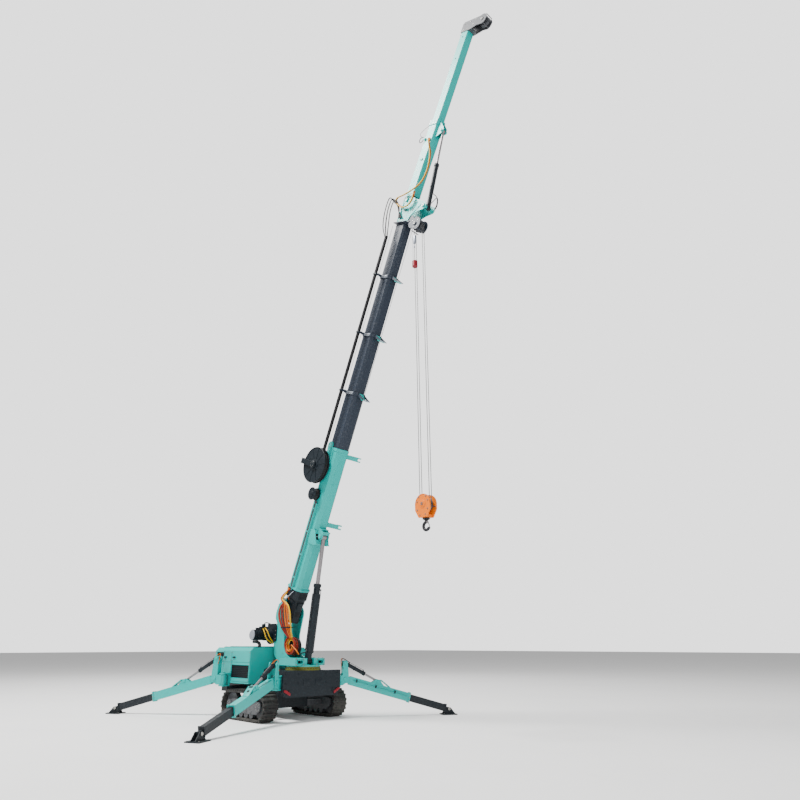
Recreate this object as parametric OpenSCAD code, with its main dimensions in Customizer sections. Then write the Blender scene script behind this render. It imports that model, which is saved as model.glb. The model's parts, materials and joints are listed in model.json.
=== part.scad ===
// Tracked spider crane: crawler base, four outrigger legs, slewing column,
// five-section telescopic boom, luffing jib and hook block.
// Millimetres. Origin on the ground under the slewing axis, front towards -Y, Z up.

/* [Chassis] */
// Width of the front cross beam
front_beam_w = 1252; // [1150:10:1350]
// Front face of the cross beam, ahead of the slewing axis
front_beam_y = 305; // [285:5:360]
// Height of the chassis deck
deck_z = 800; // [780:5:860]
// Height of the underside of the front beam
belly_z = 385; // [340:5:430]
// Width of the main frame between the tracks
frame_w = 640; // [560:10:700]
// Rear end of the main frame, behind the slewing axis
frame_rear_y = 2060; // [1900:10:2200]

/* [Tracks] */
// Distance from the centre plane to the middle of a track
track_x = 750; // [730:5:800]
// Width of a rubber track
track_w = 290; // [220:10:310]
// Height of a track over its lugs
track_h = 480; // [440:5:500]
// Distance between the idler and the sprocket
track_wheelbase = 960; // [800:10:1050]
// Place of the front idler behind the slewing axis
idler_y = 50; // [0:5:120]
// Height of a track lug
lug_h = 20; // [8:1:26]
// Number of lugs round a track
lug_count = 44; // [30:1:56]

/* [Engine housing] */
// Width of the engine housing
housing_w = 1264; // [1150:4:1270]
// Front face of the housing, behind the slewing axis
housing_y = 790; // [770:5:850]
// Length of the housing
housing_len = 1310; // [1200:10:1450]
// Height of the underside of the housing skirt
housing_z0 = 557; // [555:1:600]
// Height of the top of the housing
housing_z1 = 1175; // [1100:5:1180]
// Thickness of the housing sheet
sheet_t = 6; // [3:1:10]

/* [Outrigger legs] */
// Swing axis of a front leg, from the centre plane
front_post_x = 660; // [650:5:700]
// Swing axis of a front leg, ahead of the slewing axis
front_post_y = 170; // [150:5:175]
// Swing axis of a rear leg, from the centre plane
rear_post_x = 745; // [743:1:780]
// Swing axis of a rear leg, behind the slewing axis
rear_post_y = 1520; // [1480:5:1600]
// Spread of a front leg from the long axis
front_spread = 61.5; // [45:0.5:80]
// Spread of a rear leg from the long axis
rear_spread = 35; // [25:0.5:60]
// Height of the pin that a leg lifts about
leg_hinge_z = 633; // [615:1:650]
// Height of the cylinder pin on a front yoke
front_yoke_top = 905; // [870:5:940]
// Height of the cylinder pin on a rear yoke
rear_yoke_top = 985; // [900:5:1000]
// Reach from the swing axis to the middle of the foot
leg_reach = 2160; // [1900:10:2300]
// Length of the outer beam from its hinge pin
leg_outer_len = 1290; // [1150:10:1350]
// Width of the outer beam
leg_w = 112; // [100:2:112]
// Depth of the outer beam
leg_h = 150; // [130:2:154]
// Wall of the leg beams
leg_wall = 7; // [5:1:9]
// Size of the foot plate along the leg
foot_len = 280; // [220:10:340]
// Size of the foot plate across the leg
foot_w = 240; // [200:10:300]

/* [Slewing column] */
// Radius of the slewing ring
ring_r = 324; // [300:4:340]
// Height of the slewing ring
ring_h = 58; // [50:2:70]
// Boom pivot, behind the slewing axis
pivot_y = 446; // [430:2:460]
// Height of the boom pivot
pivot_z = 1771; // [1740:5:1820]
// Thickness of a column plate
column_t = 25; // [18:1:28]
// Foot pin of the luffing cylinder, ahead of the slewing axis
luff_foot_y = 130; // [110:2:140]
// Height of the foot pin of the luffing cylinder
luff_foot_z = 945; // [940:1:960]

/* [Boom] */
// Boom angle above the horizontal
boom_angle = 66.3; // [60:0.1:70]
// Length of the base section from the pivot
base_len = 3290; // [3200:10:3400]
// Length of the sliding sections
slide_len = 2950; // [2850:10:2950]
// Stretch of section 2 that shows
show_2 = 1150; // [1000:10:1300]
// Stretch of section 3 that shows
show_3 = 1200; // [1000:10:1300]
// Stretch of section 4 that shows
show_4 = 1220; // [1000:10:1300]
// Stretch of section 5 that shows
show_5 = 1100; // [1000:10:1300]
// Width of the base section
base_w = 286; // [280:2:300]
// Depth of the base section
base_h = 344; // [330:2:360]
// Wall of every section
boom_wall = 5; // [4:0.5:6]
// Gap between one section and the next, at the sides
side_gap = 4; // [3:0.5:5]
// Gap between one section and the next, top and bottom
top_gap = 5; // [4:0.5:6]
// Pin of the luffing rod along the boom
rod_pin_s = 1600; // [1550:10:1650]
// Pin of the luffing rod below the boom's centre line
rod_pin_n = 290; // [280:2:310]

/* [Jib] */
// Jib angle above the horizontal
jib_angle = 62.6; // [58:0.1:66]
// Jib pivot beyond the end of section 5
jib_pivot_s = 500; // [480:5:560]
// Length of the jib's base from its pivot
jib_base_len = 1740; // [1650:10:1850]
// Stretch of the jib's extension that shows
jib_show = 2060; // [1900:10:2200]
// Width of the jib's base
jib_w = 200; // [190:2:204]
// Depth of the jib's base
jib_h = 240; // [230:2:250]
// Pin of the jib rod along the jib
jib_rod_s = 1490; // [1450:10:1540]
// Pin of the jib rod below the jib's centre line
jib_rod_n = 268; // [250:2:280]
// Foot pin of the jib cylinder beyond the end of section 5
jib_foot_s = 300; // [280:5:320]
// Foot pin of the jib cylinder below the boom's centre line
jib_foot_n = 574; // [560:2:590]

/* [Hook] */
// Head sheave pin below the boom's centre line
sheave_n = 450; // [430:5:470]
// Radius of the rope sheaves in the head and the hook block
sheave_r = 115; // [110:1:120]
// Height of the sheave pin in the hook block
block_z = 3320; // [3000:10:4200]
// Radius of the hoist rope
rope_r = 6; // [4:0.5:8]

/* [Hidden] */
$fn = 48;

TEAL = "#3cb4aa";
NAVY = "#46556a";
BLACK = "#22272c";
STEEL = "#b8bcc0";
ORANGE = "#f58c0a";
OLIVE = "#8a7c18";
GREY = "#6c7278";

// Running clearance of a pin in its bore, and the seat gap of parts that only lie on each other
pin_gap = 0.1;
seat_gap = 0.3;
// Clearance between parts that move past each other
move_gap = 6;
// Running clearance between a slide pad and the section it carries
pad_gap = 0.5;

// Points of an arc about c from angle a0 to a1 in n steps
function arc(c, r, a0, a1, n = 8) =
    [for (i = [0:n]) let (a = a0 + (a1 - a0) * i / n) [c[0] + r * cos(a), c[1] + r * sin(a)]];

// An outline drawn in Y and Z, as thick as x0 to x1
module plate_yz(x0, x1, points)
    translate([x0, 0, 0])
        rotate([90, 0, 90])
            linear_extrude(x1 - x0)
                polygon(points);

// The same outline on both sides of the centre plane
module plate_pair(x0, x1, points) {
    plate_yz(x0, x1, points);
    plate_yz(-x1, -x0, points);
}

// A round bar along X
module bar_x(r, x0, x1, y, z)
    translate([x0, y, z])
        rotate([0, 90, 0])
            cylinder(h = x1 - x0, r = r);

// A block between two corners
module block(lo, hi)
    translate(lo)
        cube(hi - lo);

// Pads along Z inside a mouth of half sizes x and y, which carry a section that is smaller by the gaps
module slide_pads(x, y, gap_x, gap_y, z0, z1)
    for (m = [0, 1]) {
        mirror([m, 0, 0])
            block([x - gap_x + pad_gap, -y * 0.3, z0], [x + 1, y * 0.3, z1]);
        mirror([0, m, 0])
            block([-x * 0.3, y - gap_y + pad_gap, z0], [x * 0.3, y + 1, z1]);
    }

// Chassis

rail_t = 60;
deck_t = 16;
frame_z0 = 430;
rear_beam = [rear_post_y - 100, rear_post_y + 100];
housing_web_x = housing_w / 2 + 5;
carrier_y = [idler_y + 210, idler_y + track_wheelbase - 290];

module chassis_frame()
    color(BLACK) {
        y0 = -front_beam_y + beam_depth + seat_gap;
        for (side = [-1, 1])
            translate([side * (frame_w - rail_t) / 2 - rail_t / 2, y0, frame_z0])
                cube([rail_t, frame_rear_y - y0, deck_z - deck_t - frame_z0]);
        block([-frame_w / 2, y0, deck_z - deck_t], [frame_w / 2, housing_y - move_gap, deck_z]);
        block([-frame_w / 2, y0, frame_z0 - 12], [frame_w / 2, frame_rear_y, frame_z0]);
        for (y = [520, housing_y + 60, frame_rear_y - 20])
            block([-frame_w / 2 + rail_t, y, frame_z0], [frame_w / 2 - rail_t, y + 20, deck_z - deck_t]);
        block([-housing_web_x - 60, rear_beam[0], frame_z0 - 12],
              [housing_web_x + 60, rear_beam[1], bracket_z[0] - seat_gap]);
        for (y = carrier_y)
            block([-frame_w / 2, y, track_axle_z - 60], [frame_w / 2, y + 80, frame_z0 - 1]);
    }

beam_depth = 55;
beam_corner_cut = 16;
tow_eye_r = 20;
tow_eye_x = 470;
tow_eye_z = 470;

module front_beam()
    color(BLACK)
        difference() {
            translate([0, -front_beam_y + beam_depth, 0])
                rotate([90, 0, 0])
                    linear_extrude(beam_depth)
                        polygon([
                            [-front_beam_w / 2, deck_z], [-front_beam_w / 2, belly_z + 70],
                            [-front_beam_w / 2 + 70, belly_z], [front_beam_w / 2 - 70, belly_z],
                            [front_beam_w / 2, belly_z + 70], [front_beam_w / 2, deck_z]
                        ]);
            for (side = [-1, 1])
                translate([side * tow_eye_x, -front_beam_y - 1, tow_eye_z])
                    rotate([-90, 0, 0])
                        cylinder(h = beam_depth + 2, r = tow_eye_r);
            // The rear corners are cut so that the swinging yokes pass
            for (side = [-1, 1])
                translate([side * front_beam_w / 2, -front_beam_y + beam_depth, deck_z / 2])
                    rotate([0, 0, 45])
                        cube([beam_corner_cut * sqrt(2), beam_corner_cut * sqrt(2), deck_z + 2], center = true);
        }

// Each leg swings between two plates, on a vertical pin
bracket_z = [500, 522];
bracket_top_z = [705, 727];
bracket_r = 75;
swing_pin_r = 28;

// name, side, place across, place along, direction of the leg, height of the cylinder pin
LEGS = [
    ["leg_fr", -1, front_post_x, -front_post_y, 270 - front_spread, front_yoke_top],
    ["leg_fl", 1, front_post_x, -front_post_y, 270 + front_spread, front_yoke_top],
    ["leg_rr", -1, rear_post_x, rear_post_y, 90 + rear_spread, rear_yoke_top],
    ["leg_rl", 1, rear_post_x, rear_post_y, 90 - rear_spread, rear_yoke_top]
];

module leg_place(leg)
    translate([leg[1] * leg[2], leg[3], 0])
        rotate([0, 0, leg[4]])
            children();

// Two round-nosed plates, the web that carries them and the swing pin, for the right side
module leg_bracket(x_in, x_web, x, y) {
    for (z = [bracket_z, bracket_top_z])
        difference() {
            union() {
                block([x_in, y - bracket_r, z[0]], [x, y + bracket_r, z[1]]);
                translate([x, y, z[0]])
                    cylinder(h = z[1] - z[0], r = bracket_r);
            }
            translate([x, y, z[0] - 1])
                cylinder(h = z[1] - z[0] + 2, r = swing_pin_r - 1);
        }
    block([x_web[0], y - bracket_r, bracket_z[0]], [x_web[1], y + bracket_r, bracket_top_z[1]]);
    translate([x, y, bracket_z[0] - 8])
        cylinder(h = bracket_top_z[1] - bracket_z[0] + 16, r = swing_pin_r);
}

module leg_brackets()
    color(TEAL)
        for (side = [0, 1])
            mirror([side, 0, 0]) {
                leg_bracket(frame_w / 2 + seat_gap, [frame_w / 2 + seat_gap, front_post_x - bracket_r - 10],
                            front_post_x, -front_post_y);
                leg_bracket(housing_web_x, [housing_web_x, housing_web_x + 24], rear_post_x, rear_post_y);
            }

module slew_ring()
    color(OLIVE)
        difference() {
            union() {
                translate([0, 0, deck_z + seat_gap])
                    cylinder(h = ring_h * 0.45, r = ring_r);
                translate([0, 0, deck_z + seat_gap])
                    cylinder(h = ring_h - seat_gap, r = ring_r - 14);
            }
            translate([0, 0, deck_z - 1])
                cylinder(h = ring_h + 2, r = ring_r - 90);
        }

// Tracks

belt_t = 26;
wheel_r = track_h / 2 - lug_h - belt_t;
track_axle_z = track_h / 2;

// Outline of a loop round both wheels at the distance r, in Y and Z
function loop_points(r, n) = concat(
    arc([idler_y, track_axle_z], r, 270, 90, n),
    arc([idler_y + track_wheelbase, track_axle_z], r, 90, -90, n)
);

// Point on the loop at the share t of its length, r outside the axles' line
loop_straight = track_wheelbase;
loop_arc = 180 * PI / 180 * (wheel_r + belt_t);
loop_len = 2 * (loop_straight + loop_arc);
function loop_at(t, r) =
    let (d = t * loop_len,
         a = d < loop_arc ? 270 - 180 * d / loop_arc
           : d < loop_arc + loop_straight ? 90
           : d < 2 * loop_arc + loop_straight ? 90 - 180 * (d - loop_arc - loop_straight) / loop_arc
           : -90,
         y = d < loop_arc ? idler_y
           : d < loop_arc + loop_straight ? idler_y + d - loop_arc
           : d < 2 * loop_arc + loop_straight ? idler_y + track_wheelbase
           : idler_y + track_wheelbase - (d - 2 * loop_arc - loop_straight))
    [y + r * cos(a), track_axle_z + r * sin(a)];

// Outer outline with its lugs: each lug is as long as the gap after it
lug_points = [
    for (i = [0:lug_count - 1], k = [[0.02, 0], [0.12, 1], [0.44, 1], [0.54, 0]])
        loop_at((i + k[0]) / lug_count, wheel_r + belt_t + k[1] * lug_h)
];

module plate_yz_ring(x0, x1, outer, inner)
    translate([x0, 0, 0])
        rotate([90, 0, 90])
            linear_extrude(x1 - x0)
                difference() {
                    polygon(outer);
                    polygon(inner);
                }

module rubber_track(side)
    color(BLACK)
        plate_yz_ring(side * track_x - track_w / 2, side * track_x + track_w / 2,
                      lug_points, loop_points(wheel_r, 16));

roller_r = 62;
roller_count = 4;
track_plate_t = 14;

// Side frame with its rollers, idler and sprocket, and the two beams that carry it
module track_frame(side)
    color(GREY) {
        x = side * track_x;
        for (y = [idler_y, idler_y + track_wheelbase]) {
            bar_x(wheel_r * cos(90 / 16) - seat_gap, x - 45, x + 45, y, track_axle_z);
            bar_x(52, x - 100, x + 100, y, track_axle_z);
        }
        for (k = [0:roller_count - 1])
            bar_x(roller_r, x - 90, x + 90, idler_y + 235 + (track_wheelbase - 470) * k / (roller_count - 1),
                  lug_h + belt_t + seat_gap + roller_r);
        for (x0 = [x - 100, x + 100 - track_plate_t])
            plate_yz(x0, x0 + track_plate_t, [
                [idler_y - 40, track_axle_z - 48], [idler_y + 60, track_axle_z - 120],
                [idler_y + track_wheelbase - 60, track_axle_z - 120],
                [idler_y + track_wheelbase + 40, track_axle_z - 48],
                [idler_y + track_wheelbase + 40, track_axle_z + 60],
                [idler_y + track_wheelbase - 120, track_axle_z + 95],
                [idler_y + 120, track_axle_z + 95], [idler_y - 40, track_axle_z + 60]
            ]);
        for (y = carrier_y)
            block([min(side * (frame_w / 2 + seat_gap), side * (track_x - 60)), y, track_axle_z - 40],
                  [max(side * (frame_w / 2 + seat_gap), side * (track_x - 60)), y + 80, track_axle_z + 40]);
    }

// Engine housing

housing_cut = 60;

module housing_outline(inset)
    polygon([
        [-housing_w / 2 + inset, housing_z0 - 1], [-housing_w / 2 + inset, housing_z1 - housing_cut],
        [-housing_w / 2 + housing_cut, housing_z1 - inset], [housing_w / 2 - housing_cut, housing_z1 - inset],
        [housing_w / 2 - inset, housing_z1 - housing_cut], [housing_w / 2 - inset, housing_z0 - 1]
    ]);

grille_y = [housing_y + 30, housing_y + 650];
grille_z = [650, 870];
vent_y = [housing_y + housing_len - 330, housing_y + housing_len - 60];
vent_z = [1010, 1090];

module engine_housing()
    color(TEAL)
        difference() {
            translate([0, housing_y + housing_len, 0])
                rotate([90, 0, 0])
                    linear_extrude(housing_len)
                        housing_outline(0);
            translate([0, housing_y + housing_len - sheet_t, 0])
                rotate([90, 0, 0])
                    linear_extrude(housing_len - 2 * sheet_t)
                        translate([0, -sheet_t])
                            housing_outline(sheet_t);
            block([-housing_w, housing_y - 1, housing_z0 - 2], [housing_w, housing_y + housing_len + 1, housing_z0]);
            block([-frame_w / 2 - seat_gap, housing_y - 1, housing_z0 - 1],
                  [frame_w / 2 + seat_gap, housing_y + sheet_t + 1, deck_z - deck_t + seat_gap]);
            for (side = [-1, 1]) {
                translate([side * housing_w / 2 - 20, grille_y[0], grille_z[0]])
                    cube([40, grille_y[1] - grille_y[0], grille_z[1] - grille_z[0]]);
                translate([side * housing_w / 2 - 20, vent_y[0], vent_z[0]])
                    cube([40, vent_y[1] - vent_y[0], vent_z[1] - vent_z[0]]);
            }
        }

louvre_count = 8;

// A framed set of slats set into one opening, for the right side
module louvres(y, z, count) {
    x = housing_w / 2 - sheet_t;
    t = 8;
    block([x, y[0] + seat_gap, z[0] + seat_gap], [x + 3, y[0] + 12, z[1] - seat_gap]);
    block([x, y[1] - 12, z[0] + seat_gap], [x + 3, y[1] - seat_gap, z[1] - seat_gap]);
    for (k = [0:count - 1])
        block([x, y[0] + 11, z[0] + t + (z[1] - z[0] - 2 * t) * k / (count - 1) - 4],
              [x + 3, y[1] - 11, z[0] + t + (z[1] - z[0] - 2 * t) * k / (count - 1) + 4]);
}

module housing_grilles()
    color(BLACK)
        for (side = [0, 1])
            mirror([side, 0, 0]) {
                louvres(grille_y, grille_z, louvre_count);
                louvres(vent_y, vent_z, 4);
            }

module engine_block()
    color(GREY)
        block([-300, housing_y + 300, deck_z - deck_t + seat_gap], [300, housing_y + 1000, housing_z1 - 60]);

// Slewing column

turret_z = deck_z + ring_h + seat_gap;
base_box = [325, -215, 300];
base_top = turret_z + 140;
column_x = base_w / 2 + 12;
slot_w = 72;
column_back = 750;
window_x = 225;

// Side view of a column plate, front foot first, then round the pivot and down the back past the winch seat
column_outline = concat(
    [[base_box[1] + 40, turret_z + 20], [base_box[1] + 40, base_top - 20], [base_box[1] + 90, base_top + 6]],
    arc([150, base_top + 252], 246, 276, 355, 8),
    [[pivot_y - 50, pivot_z - 370], [pivot_y - 100, pivot_z - 200]],
    arc([pivot_y, pivot_z], 152, 200, 115, 8),
    [
        [pivot_y - 24, pivot_z + 262], [pivot_y + 10, pivot_z + 284], [pivot_y + 54, pivot_z + 280],
        [pivot_y + 130, pivot_z + 212], [pivot_y + 195, pivot_z + 184], [pivot_y + 272, pivot_z + 28],
        [pivot_y + 278, pivot_z - 80], [pivot_y + 222, pivot_z - 150], [pivot_y + 214, pivot_z - 262],
        [pivot_y + 250, pivot_z - 290], [column_back, pivot_z - 300], [column_back, pivot_z - 440],
        [pivot_y + 275, pivot_z - 640], [pivot_y + 250, pivot_z - 730], [pivot_y + 150, base_top - 30],
        [pivot_y + 110, turret_z + 20]
    ]
);

module turret()
    color(TEAL)
        difference() {
            union() {
                translate([0, 0, turret_z])
                    cylinder(h = 22, r = ring_r - 22);
                block([-base_box[0], base_box[1], turret_z + 20], [base_box[0], base_box[2], base_top]);
                plate_pair(column_x, column_x + column_t, column_outline);
                block([-column_x - 1, pivot_y + 74, base_top - 31], [column_x + 1, pivot_y + 100, pivot_z - 350]);
                bar_x(40, -column_x - column_t - 18, column_x + column_t + 18, pivot_y, pivot_z);
            }
            block([-slot_w, base_box[1] - 1, turret_z + 22], [slot_w, 60, base_top + 1]);
            for (side = [-1, 1])
                translate([side * window_x - 55, base_box[1] - 1, turret_z + 55])
                    cube([110, 70, 55]);
            block([-column_x, base_box[1] + 60, base_top - 60], [column_x, base_box[2] - 160, base_top + 1]);
        }

module luff_pin()
    bar_x(32, -slot_w - 1, slot_w + 1, -luff_foot_y, luff_foot_z);

// Winch on the back of the column
winch_y = 845;
winch_z = pivot_z - 376;
drum_r = 110;
drum_flange_r = 150;
winch_shaft_r = 40;

winch_x = column_x + column_t + seat_gap;
winch_plate_t = 14;
motor_len = 400;
gearbox_len = 150;
motor_rib_count = 7;

module winch_frame()
    color(BLACK) {
        outer = winch_x + winch_plate_t;
        top = winch_z + drum_flange_r + 15;
        difference() {
            plate_pair(winch_x, outer, concat(
                [[column_back - 110, winch_z - 95], [column_back - 110, top - 20], [column_back - 70, top + 40],
                 [winch_y + 115, top + 40]],
                arc([winch_y, winch_z], drum_flange_r + 15, 45, -100, 12)
            ));
            bar_x(winch_shaft_r, -outer - 1, outer + 1, winch_y, winch_z);
        }
        for (y = [column_back - 60, winch_y + 85])
            block([-winch_x - 1, y, top], [winch_x + 1, y + 20, top + 26]);
        // Gearbox and the ribbed motor behind it
        bar_x(100, -outer - gearbox_len, -outer + 0.5, winch_y, winch_z);
        bar_x(74, -outer - motor_len, -outer - gearbox_len + 1, winch_y, winch_z);
        for (k = [0:motor_rib_count - 1])
            bar_x(94, -outer - motor_len + 34 * k, -outer - motor_len + 34 * k + 18, winch_y, winch_z);
        bar_x(60, outer - 0.5, outer + 34, winch_y, winch_z);
    }

module winch_drum()
    color(GREY) {
        end = column_x - move_gap;
        bar_x(drum_r, -end + 1, end - 1, winch_y, winch_z);
        bar_x(winch_shaft_r - seat_gap, -winch_x - winch_plate_t + 1, winch_x + winch_plate_t - 1, winch_y, winch_z);
        for (x = [-end, end - 14])
            bar_x(drum_flange_r, x, x + 14, winch_y, winch_z);
    }

// Boom

boom_len = base_len + show_2 + show_3 + show_4 + show_5;
// end along the boom, width, depth, chamfer under, chamfer above, one row a section
step_w = 2 * (boom_wall + side_gap);
step_h = 2 * (boom_wall + top_gap);
chamfer_step = 5.3;
chamfer_under = 60;
chamfer_above = 26;
ends = [base_len, base_len + show_2, base_len + show_2 + show_3, boom_len - show_5, boom_len];
SECTIONS = [
    for (i = [0:4])
        [ends[i], base_w - i * step_w, base_h - i * step_h,
         chamfer_under - i * chamfer_step, chamfer_above - i * chamfer_step]
];

module boom_frame()
    translate([0, pivot_y, pivot_z])
        rotate([90 - boom_angle, 0, 0])
            children();

// Cross-section outline: flat top, bevelled under side
module section_outline(w, h, under, above)
    polygon([
        [-w / 2, h / 2 - above], [-w / 2 + above, h / 2], [w / 2 - above, h / 2], [w / 2, h / 2 - above],
        [w / 2, -h / 2 + under], [w / 2 - under, -h / 2], [-w / 2 + under, -h / 2], [-w / 2, -h / 2 + under]
    ]);

module section_tube(w, h, under, above, wall, z0, z1)
    translate([0, 0, z0])
        linear_extrude(z1 - z0)
            difference() {
                section_outline(w, h, under, above);
                section_outline(w - 2 * wall, h - 2 * wall, under - 0.586 * wall, max(1, above - 0.586 * wall));
            }

collar_len = 70;
collar_t = 16;
guide_out = 230;

// Collar at the end of a section, with the rope guide below and the hose guide beside
module collar(row) {
    w = row[1];
    h = row[2];
    section_tube(w + 2 * collar_t, h + 2 * collar_t, row[3] + 9, row[4] + 9, collar_t + boom_wall,
                 row[0] - collar_len, row[0]);
    for (side = [-1, 1])
        plate_yz(side * w / 4 - 5, side * w / 4 + 5, [
            [-h / 2 - collar_t + 1, row[0] - 4], [-h / 2 - collar_t - guide_out, row[0] - 118],
            [-h / 2 - collar_t - guide_out + 6, row[0] - 130], [-h / 2 - collar_t + 1, row[0] - collar_len]
        ]);
    block([-w / 4 - 5, -h / 2 - collar_t - guide_out + 2, row[0] - 128],
          [w / 4 + 5, -h / 2 - collar_t - guide_out + 12, row[0] - 116]);
    translate([-w / 2 - collar_t + 1, h / 2 - 40, row[0] - 30])
        rotate([90, 0, 0])
            linear_extrude(8)
                polygon([[0, -36], [0, 26], [-100, 26], [-130, 10], [-130, -6]]);
}

module section_pads(row)
    slide_pads(row[1] / 2 - boom_wall, row[2] / 2 - boom_wall, side_gap, top_gap, row[0] - 70, row[0] - 4);

module boom_section(i)
    color(NAVY)
        boom_frame() {
            row = SECTIONS[i];
            section_tube(row[1], row[2], row[3], max(2, row[4]), boom_wall, row[0] - slide_len, row[0] - seat_gap);
            if (i < 4) {
                collar(row);
                section_pads(row);
            }
        }

foot_top = 340;

module boom_foot()
    color(BLACK)
        boom_frame()
            difference() {
                union() {
                    translate([0, 0, -120])
                        linear_extrude(foot_top + 110)
                            section_outline(base_w - 24, base_h - 24, chamfer_under, chamfer_above);
                    translate([0, 0, foot_top - 24])
                        linear_extrude(24 - seat_gap)
                            section_outline(base_w + 24, base_h + 24, chamfer_under + 7, chamfer_above + 7);
                    bar_x(95, -base_w / 2 - 6, base_w / 2 + 6, 0, 0);
                }
                bar_x(40 + pin_gap, -base_w, base_w, 0, 0);
            }

module boom_1()
    color(TEAL)
        boom_frame() {
            row = SECTIONS[0];
            section_tube(base_w, base_h, chamfer_under, chamfer_above, boom_wall, foot_top, base_len);
            section_tube(base_w + 24, base_h + 24, chamfer_under + 7, chamfer_above + 7, 12 + boom_wall, foot_top, foot_top + 40);
            section_tube(base_w + 20, base_h + 20, chamfer_under + 6, chamfer_above + 6, 10 + boom_wall, base_len - 60, base_len);
            section_pads(row);
            // Ear plates at the end, on both sides near the top
            for (side = [-1, 1])
                plate_yz(side * (base_w / 2 + 6) - 7, side * (base_w / 2 + 6) + 7,
                         concat([[0, base_len - 60], [-20, base_len - 330], [150, base_len - 330]],
                                arc([120, base_len + 20], 80, -10, 190, 10)));
        }

stow_out = 300;
stow_spacing = 1365;

// A forked bar that carries the stowed jib
module stow_bracket(s)
    difference() {
        translate([base_w / 2, -base_h / 2 + 95, s])
            rotate([0, 0, -25])
                difference() {
                    block([-20, -30, -45], [stow_out, 30, 45]);
                    block([stow_out - 60, -40, -22], [stow_out + 1, 40, 22]);
                    block([30, -20, -46], [stow_out - 90, 31, 46]);
                }
        block([0, -base_h, s - 60], [base_w / 2 + seat_gap, base_h, s + 60]);
    }

module stow_brackets()
    color(TEAL)
        boom_frame()
            for (s = [base_len - 115, base_len - 115 - stow_spacing])
                stow_bracket(s);

module boom_1_fittings()
    color(TEAL)
        boom_frame() {
            // Box that holds the rod of the luffing cylinder
            for (side = [-1, 1])
                difference() {
                    plate_yz(side * 74 - 8, side * 74 + 8, [
                        [-base_h / 2 - seat_gap, rod_pin_s + 150], [-rod_pin_n - 50, rod_pin_s + 100],
                        [-rod_pin_n - 62, rod_pin_s - 20], [-rod_pin_n - 30, rod_pin_s - 50],
                        [-base_h / 2 - seat_gap, rod_pin_s - 100]
                    ]);
                    bar_x(30, -100, 100, -rod_pin_n, rod_pin_s);
                }
            for (side = [-1, 1])
                bar_x(29.5, side * 82 - 16, side * 82 + 16, -rod_pin_n, rod_pin_s);
            block([-82, -base_h / 2 - 96, rod_pin_s + 116], [82, -base_h / 2 - seat_gap, rod_pin_s + 130]);
            plate_yz(-82, 82, [
                [-rod_pin_n - 50, rod_pin_s + 100], [-rod_pin_n - 55, rod_pin_s + 50],
                [-rod_pin_n - 47, rod_pin_s + 50], [-rod_pin_n - 42, rod_pin_s + 100]
            ]);
            // Rope channel along the top
            block([-60, base_h / 2 + seat_gap, foot_top + 60], [-48, base_h / 2 + 46, base_len - 420]);
            block([48, base_h / 2 + seat_gap, foot_top + 60], [60, base_h / 2 + 46, base_len - 420]);
            // Shelf under the pipes on the right side
            block([-base_w / 2 - 44, -8, foot_top + 80], [-base_w / 2 - seat_gap, 0, small_reel_s - 160]);
        }

reel_s = 2855;
reel_r = 350;
small_reel_s = 2320;

// Hose reels on the right side of the base section
module hose_reels()
    color(BLACK)
        boom_frame() {
            x = -base_w / 2 - seat_gap;
            block([x - 14, 40, reel_s - 60], [x, 350, reel_s + 60]);
            bar_x(60, x - 150, x - 13, 290, reel_s);
            for (dx = [-36, -130])
                bar_x(reel_r, x + dx - 10, x + dx, 290, reel_s);
            bar_x(190, x - 135, x - 41, 290, reel_s);
            bar_x(36, x - 140, x, 100, small_reel_s);
            for (dx = [-22, -122])
                bar_x(120, x + dx - 8, x + dx, 100, small_reel_s);
            bar_x(70, x - 125, x - 28, 100, small_reel_s);
        }

// Luffing cylinder

function boom_point(s, n) = [
    pivot_y - s * cos(boom_angle) - n * sin(boom_angle),
    pivot_z + s * sin(boom_angle) - n * cos(boom_angle)
];

// Place children at a foot pin with local Z pointing at the rod pin
module aim(foot, pin)
    translate([0, foot[0], foot[1]])
        rotate([atan2(-(pin[0] - foot[0]), pin[1] - foot[1]), 0, 0])
            children();

luff_foot = [-luff_foot_y, luff_foot_z];
luff_pin_at = boom_point(rod_pin_s, rod_pin_n);
luff_len = norm(luff_pin_at - luff_foot);
luff_barrel_len = 1345;
luff_barrel_r = 62;
luff_rod_r = 38;
luff_tail = 900;

// Cylinder barrel with its foot eye
module barrel(len, r, rod_r, eye_r, eye_w, pin_r) {
    difference() {
        union() {
            translate([0, 0, eye_r * 0.6])
                cylinder(h = len - eye_r * 0.6, r = r);
            translate([0, 0, len - 0.6 * r])
                cylinder(h = 0.6 * r, r = r * 1.12);
            bar_x(eye_r, -eye_w / 2, eye_w / 2, 0, 0);
        }
        translate([0, 0, eye_r * 1.2])
            cylinder(h = len - eye_r * 1.2 - 0.5 * r, r = r - 9);
        translate([0, 0, len - r])
            cylinder(h = r + 1, r = rod_r + 0.5);
        bar_x(pin_r + pin_gap, -eye_w, eye_w, 0, 0);
    }
}

piston_len = 30;

// Rod from its tail to its eye
module piston_rod(tail, len, rod_r, bore_r, eye_r, eye_w) {
    translate([0, 0, tail])
        cylinder(h = len - tail, r = rod_r);
    translate([0, 0, tail])
        cylinder(h = piston_len, r = bore_r - 0.5);
    bar_x(eye_r, -eye_w / 2, eye_w / 2, 0, len);
}

module luff_barrel()
    color(BLACK)
        aim(luff_foot, luff_pin_at)
            barrel(luff_barrel_len, luff_barrel_r, luff_rod_r, 52, 2 * slot_w - 14, 32);

module luff_rod()
    color(STEEL)
        aim(luff_foot, luff_pin_at)
            piston_rod(luff_tail, luff_len, luff_rod_r, luff_barrel_r - 9, 44, 96);

// Boom head

module head_frame()
    boom_frame()
        translate([0, 0, boom_len])
            children();

cheek_x = 98;
sheave_s = -50;

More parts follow.
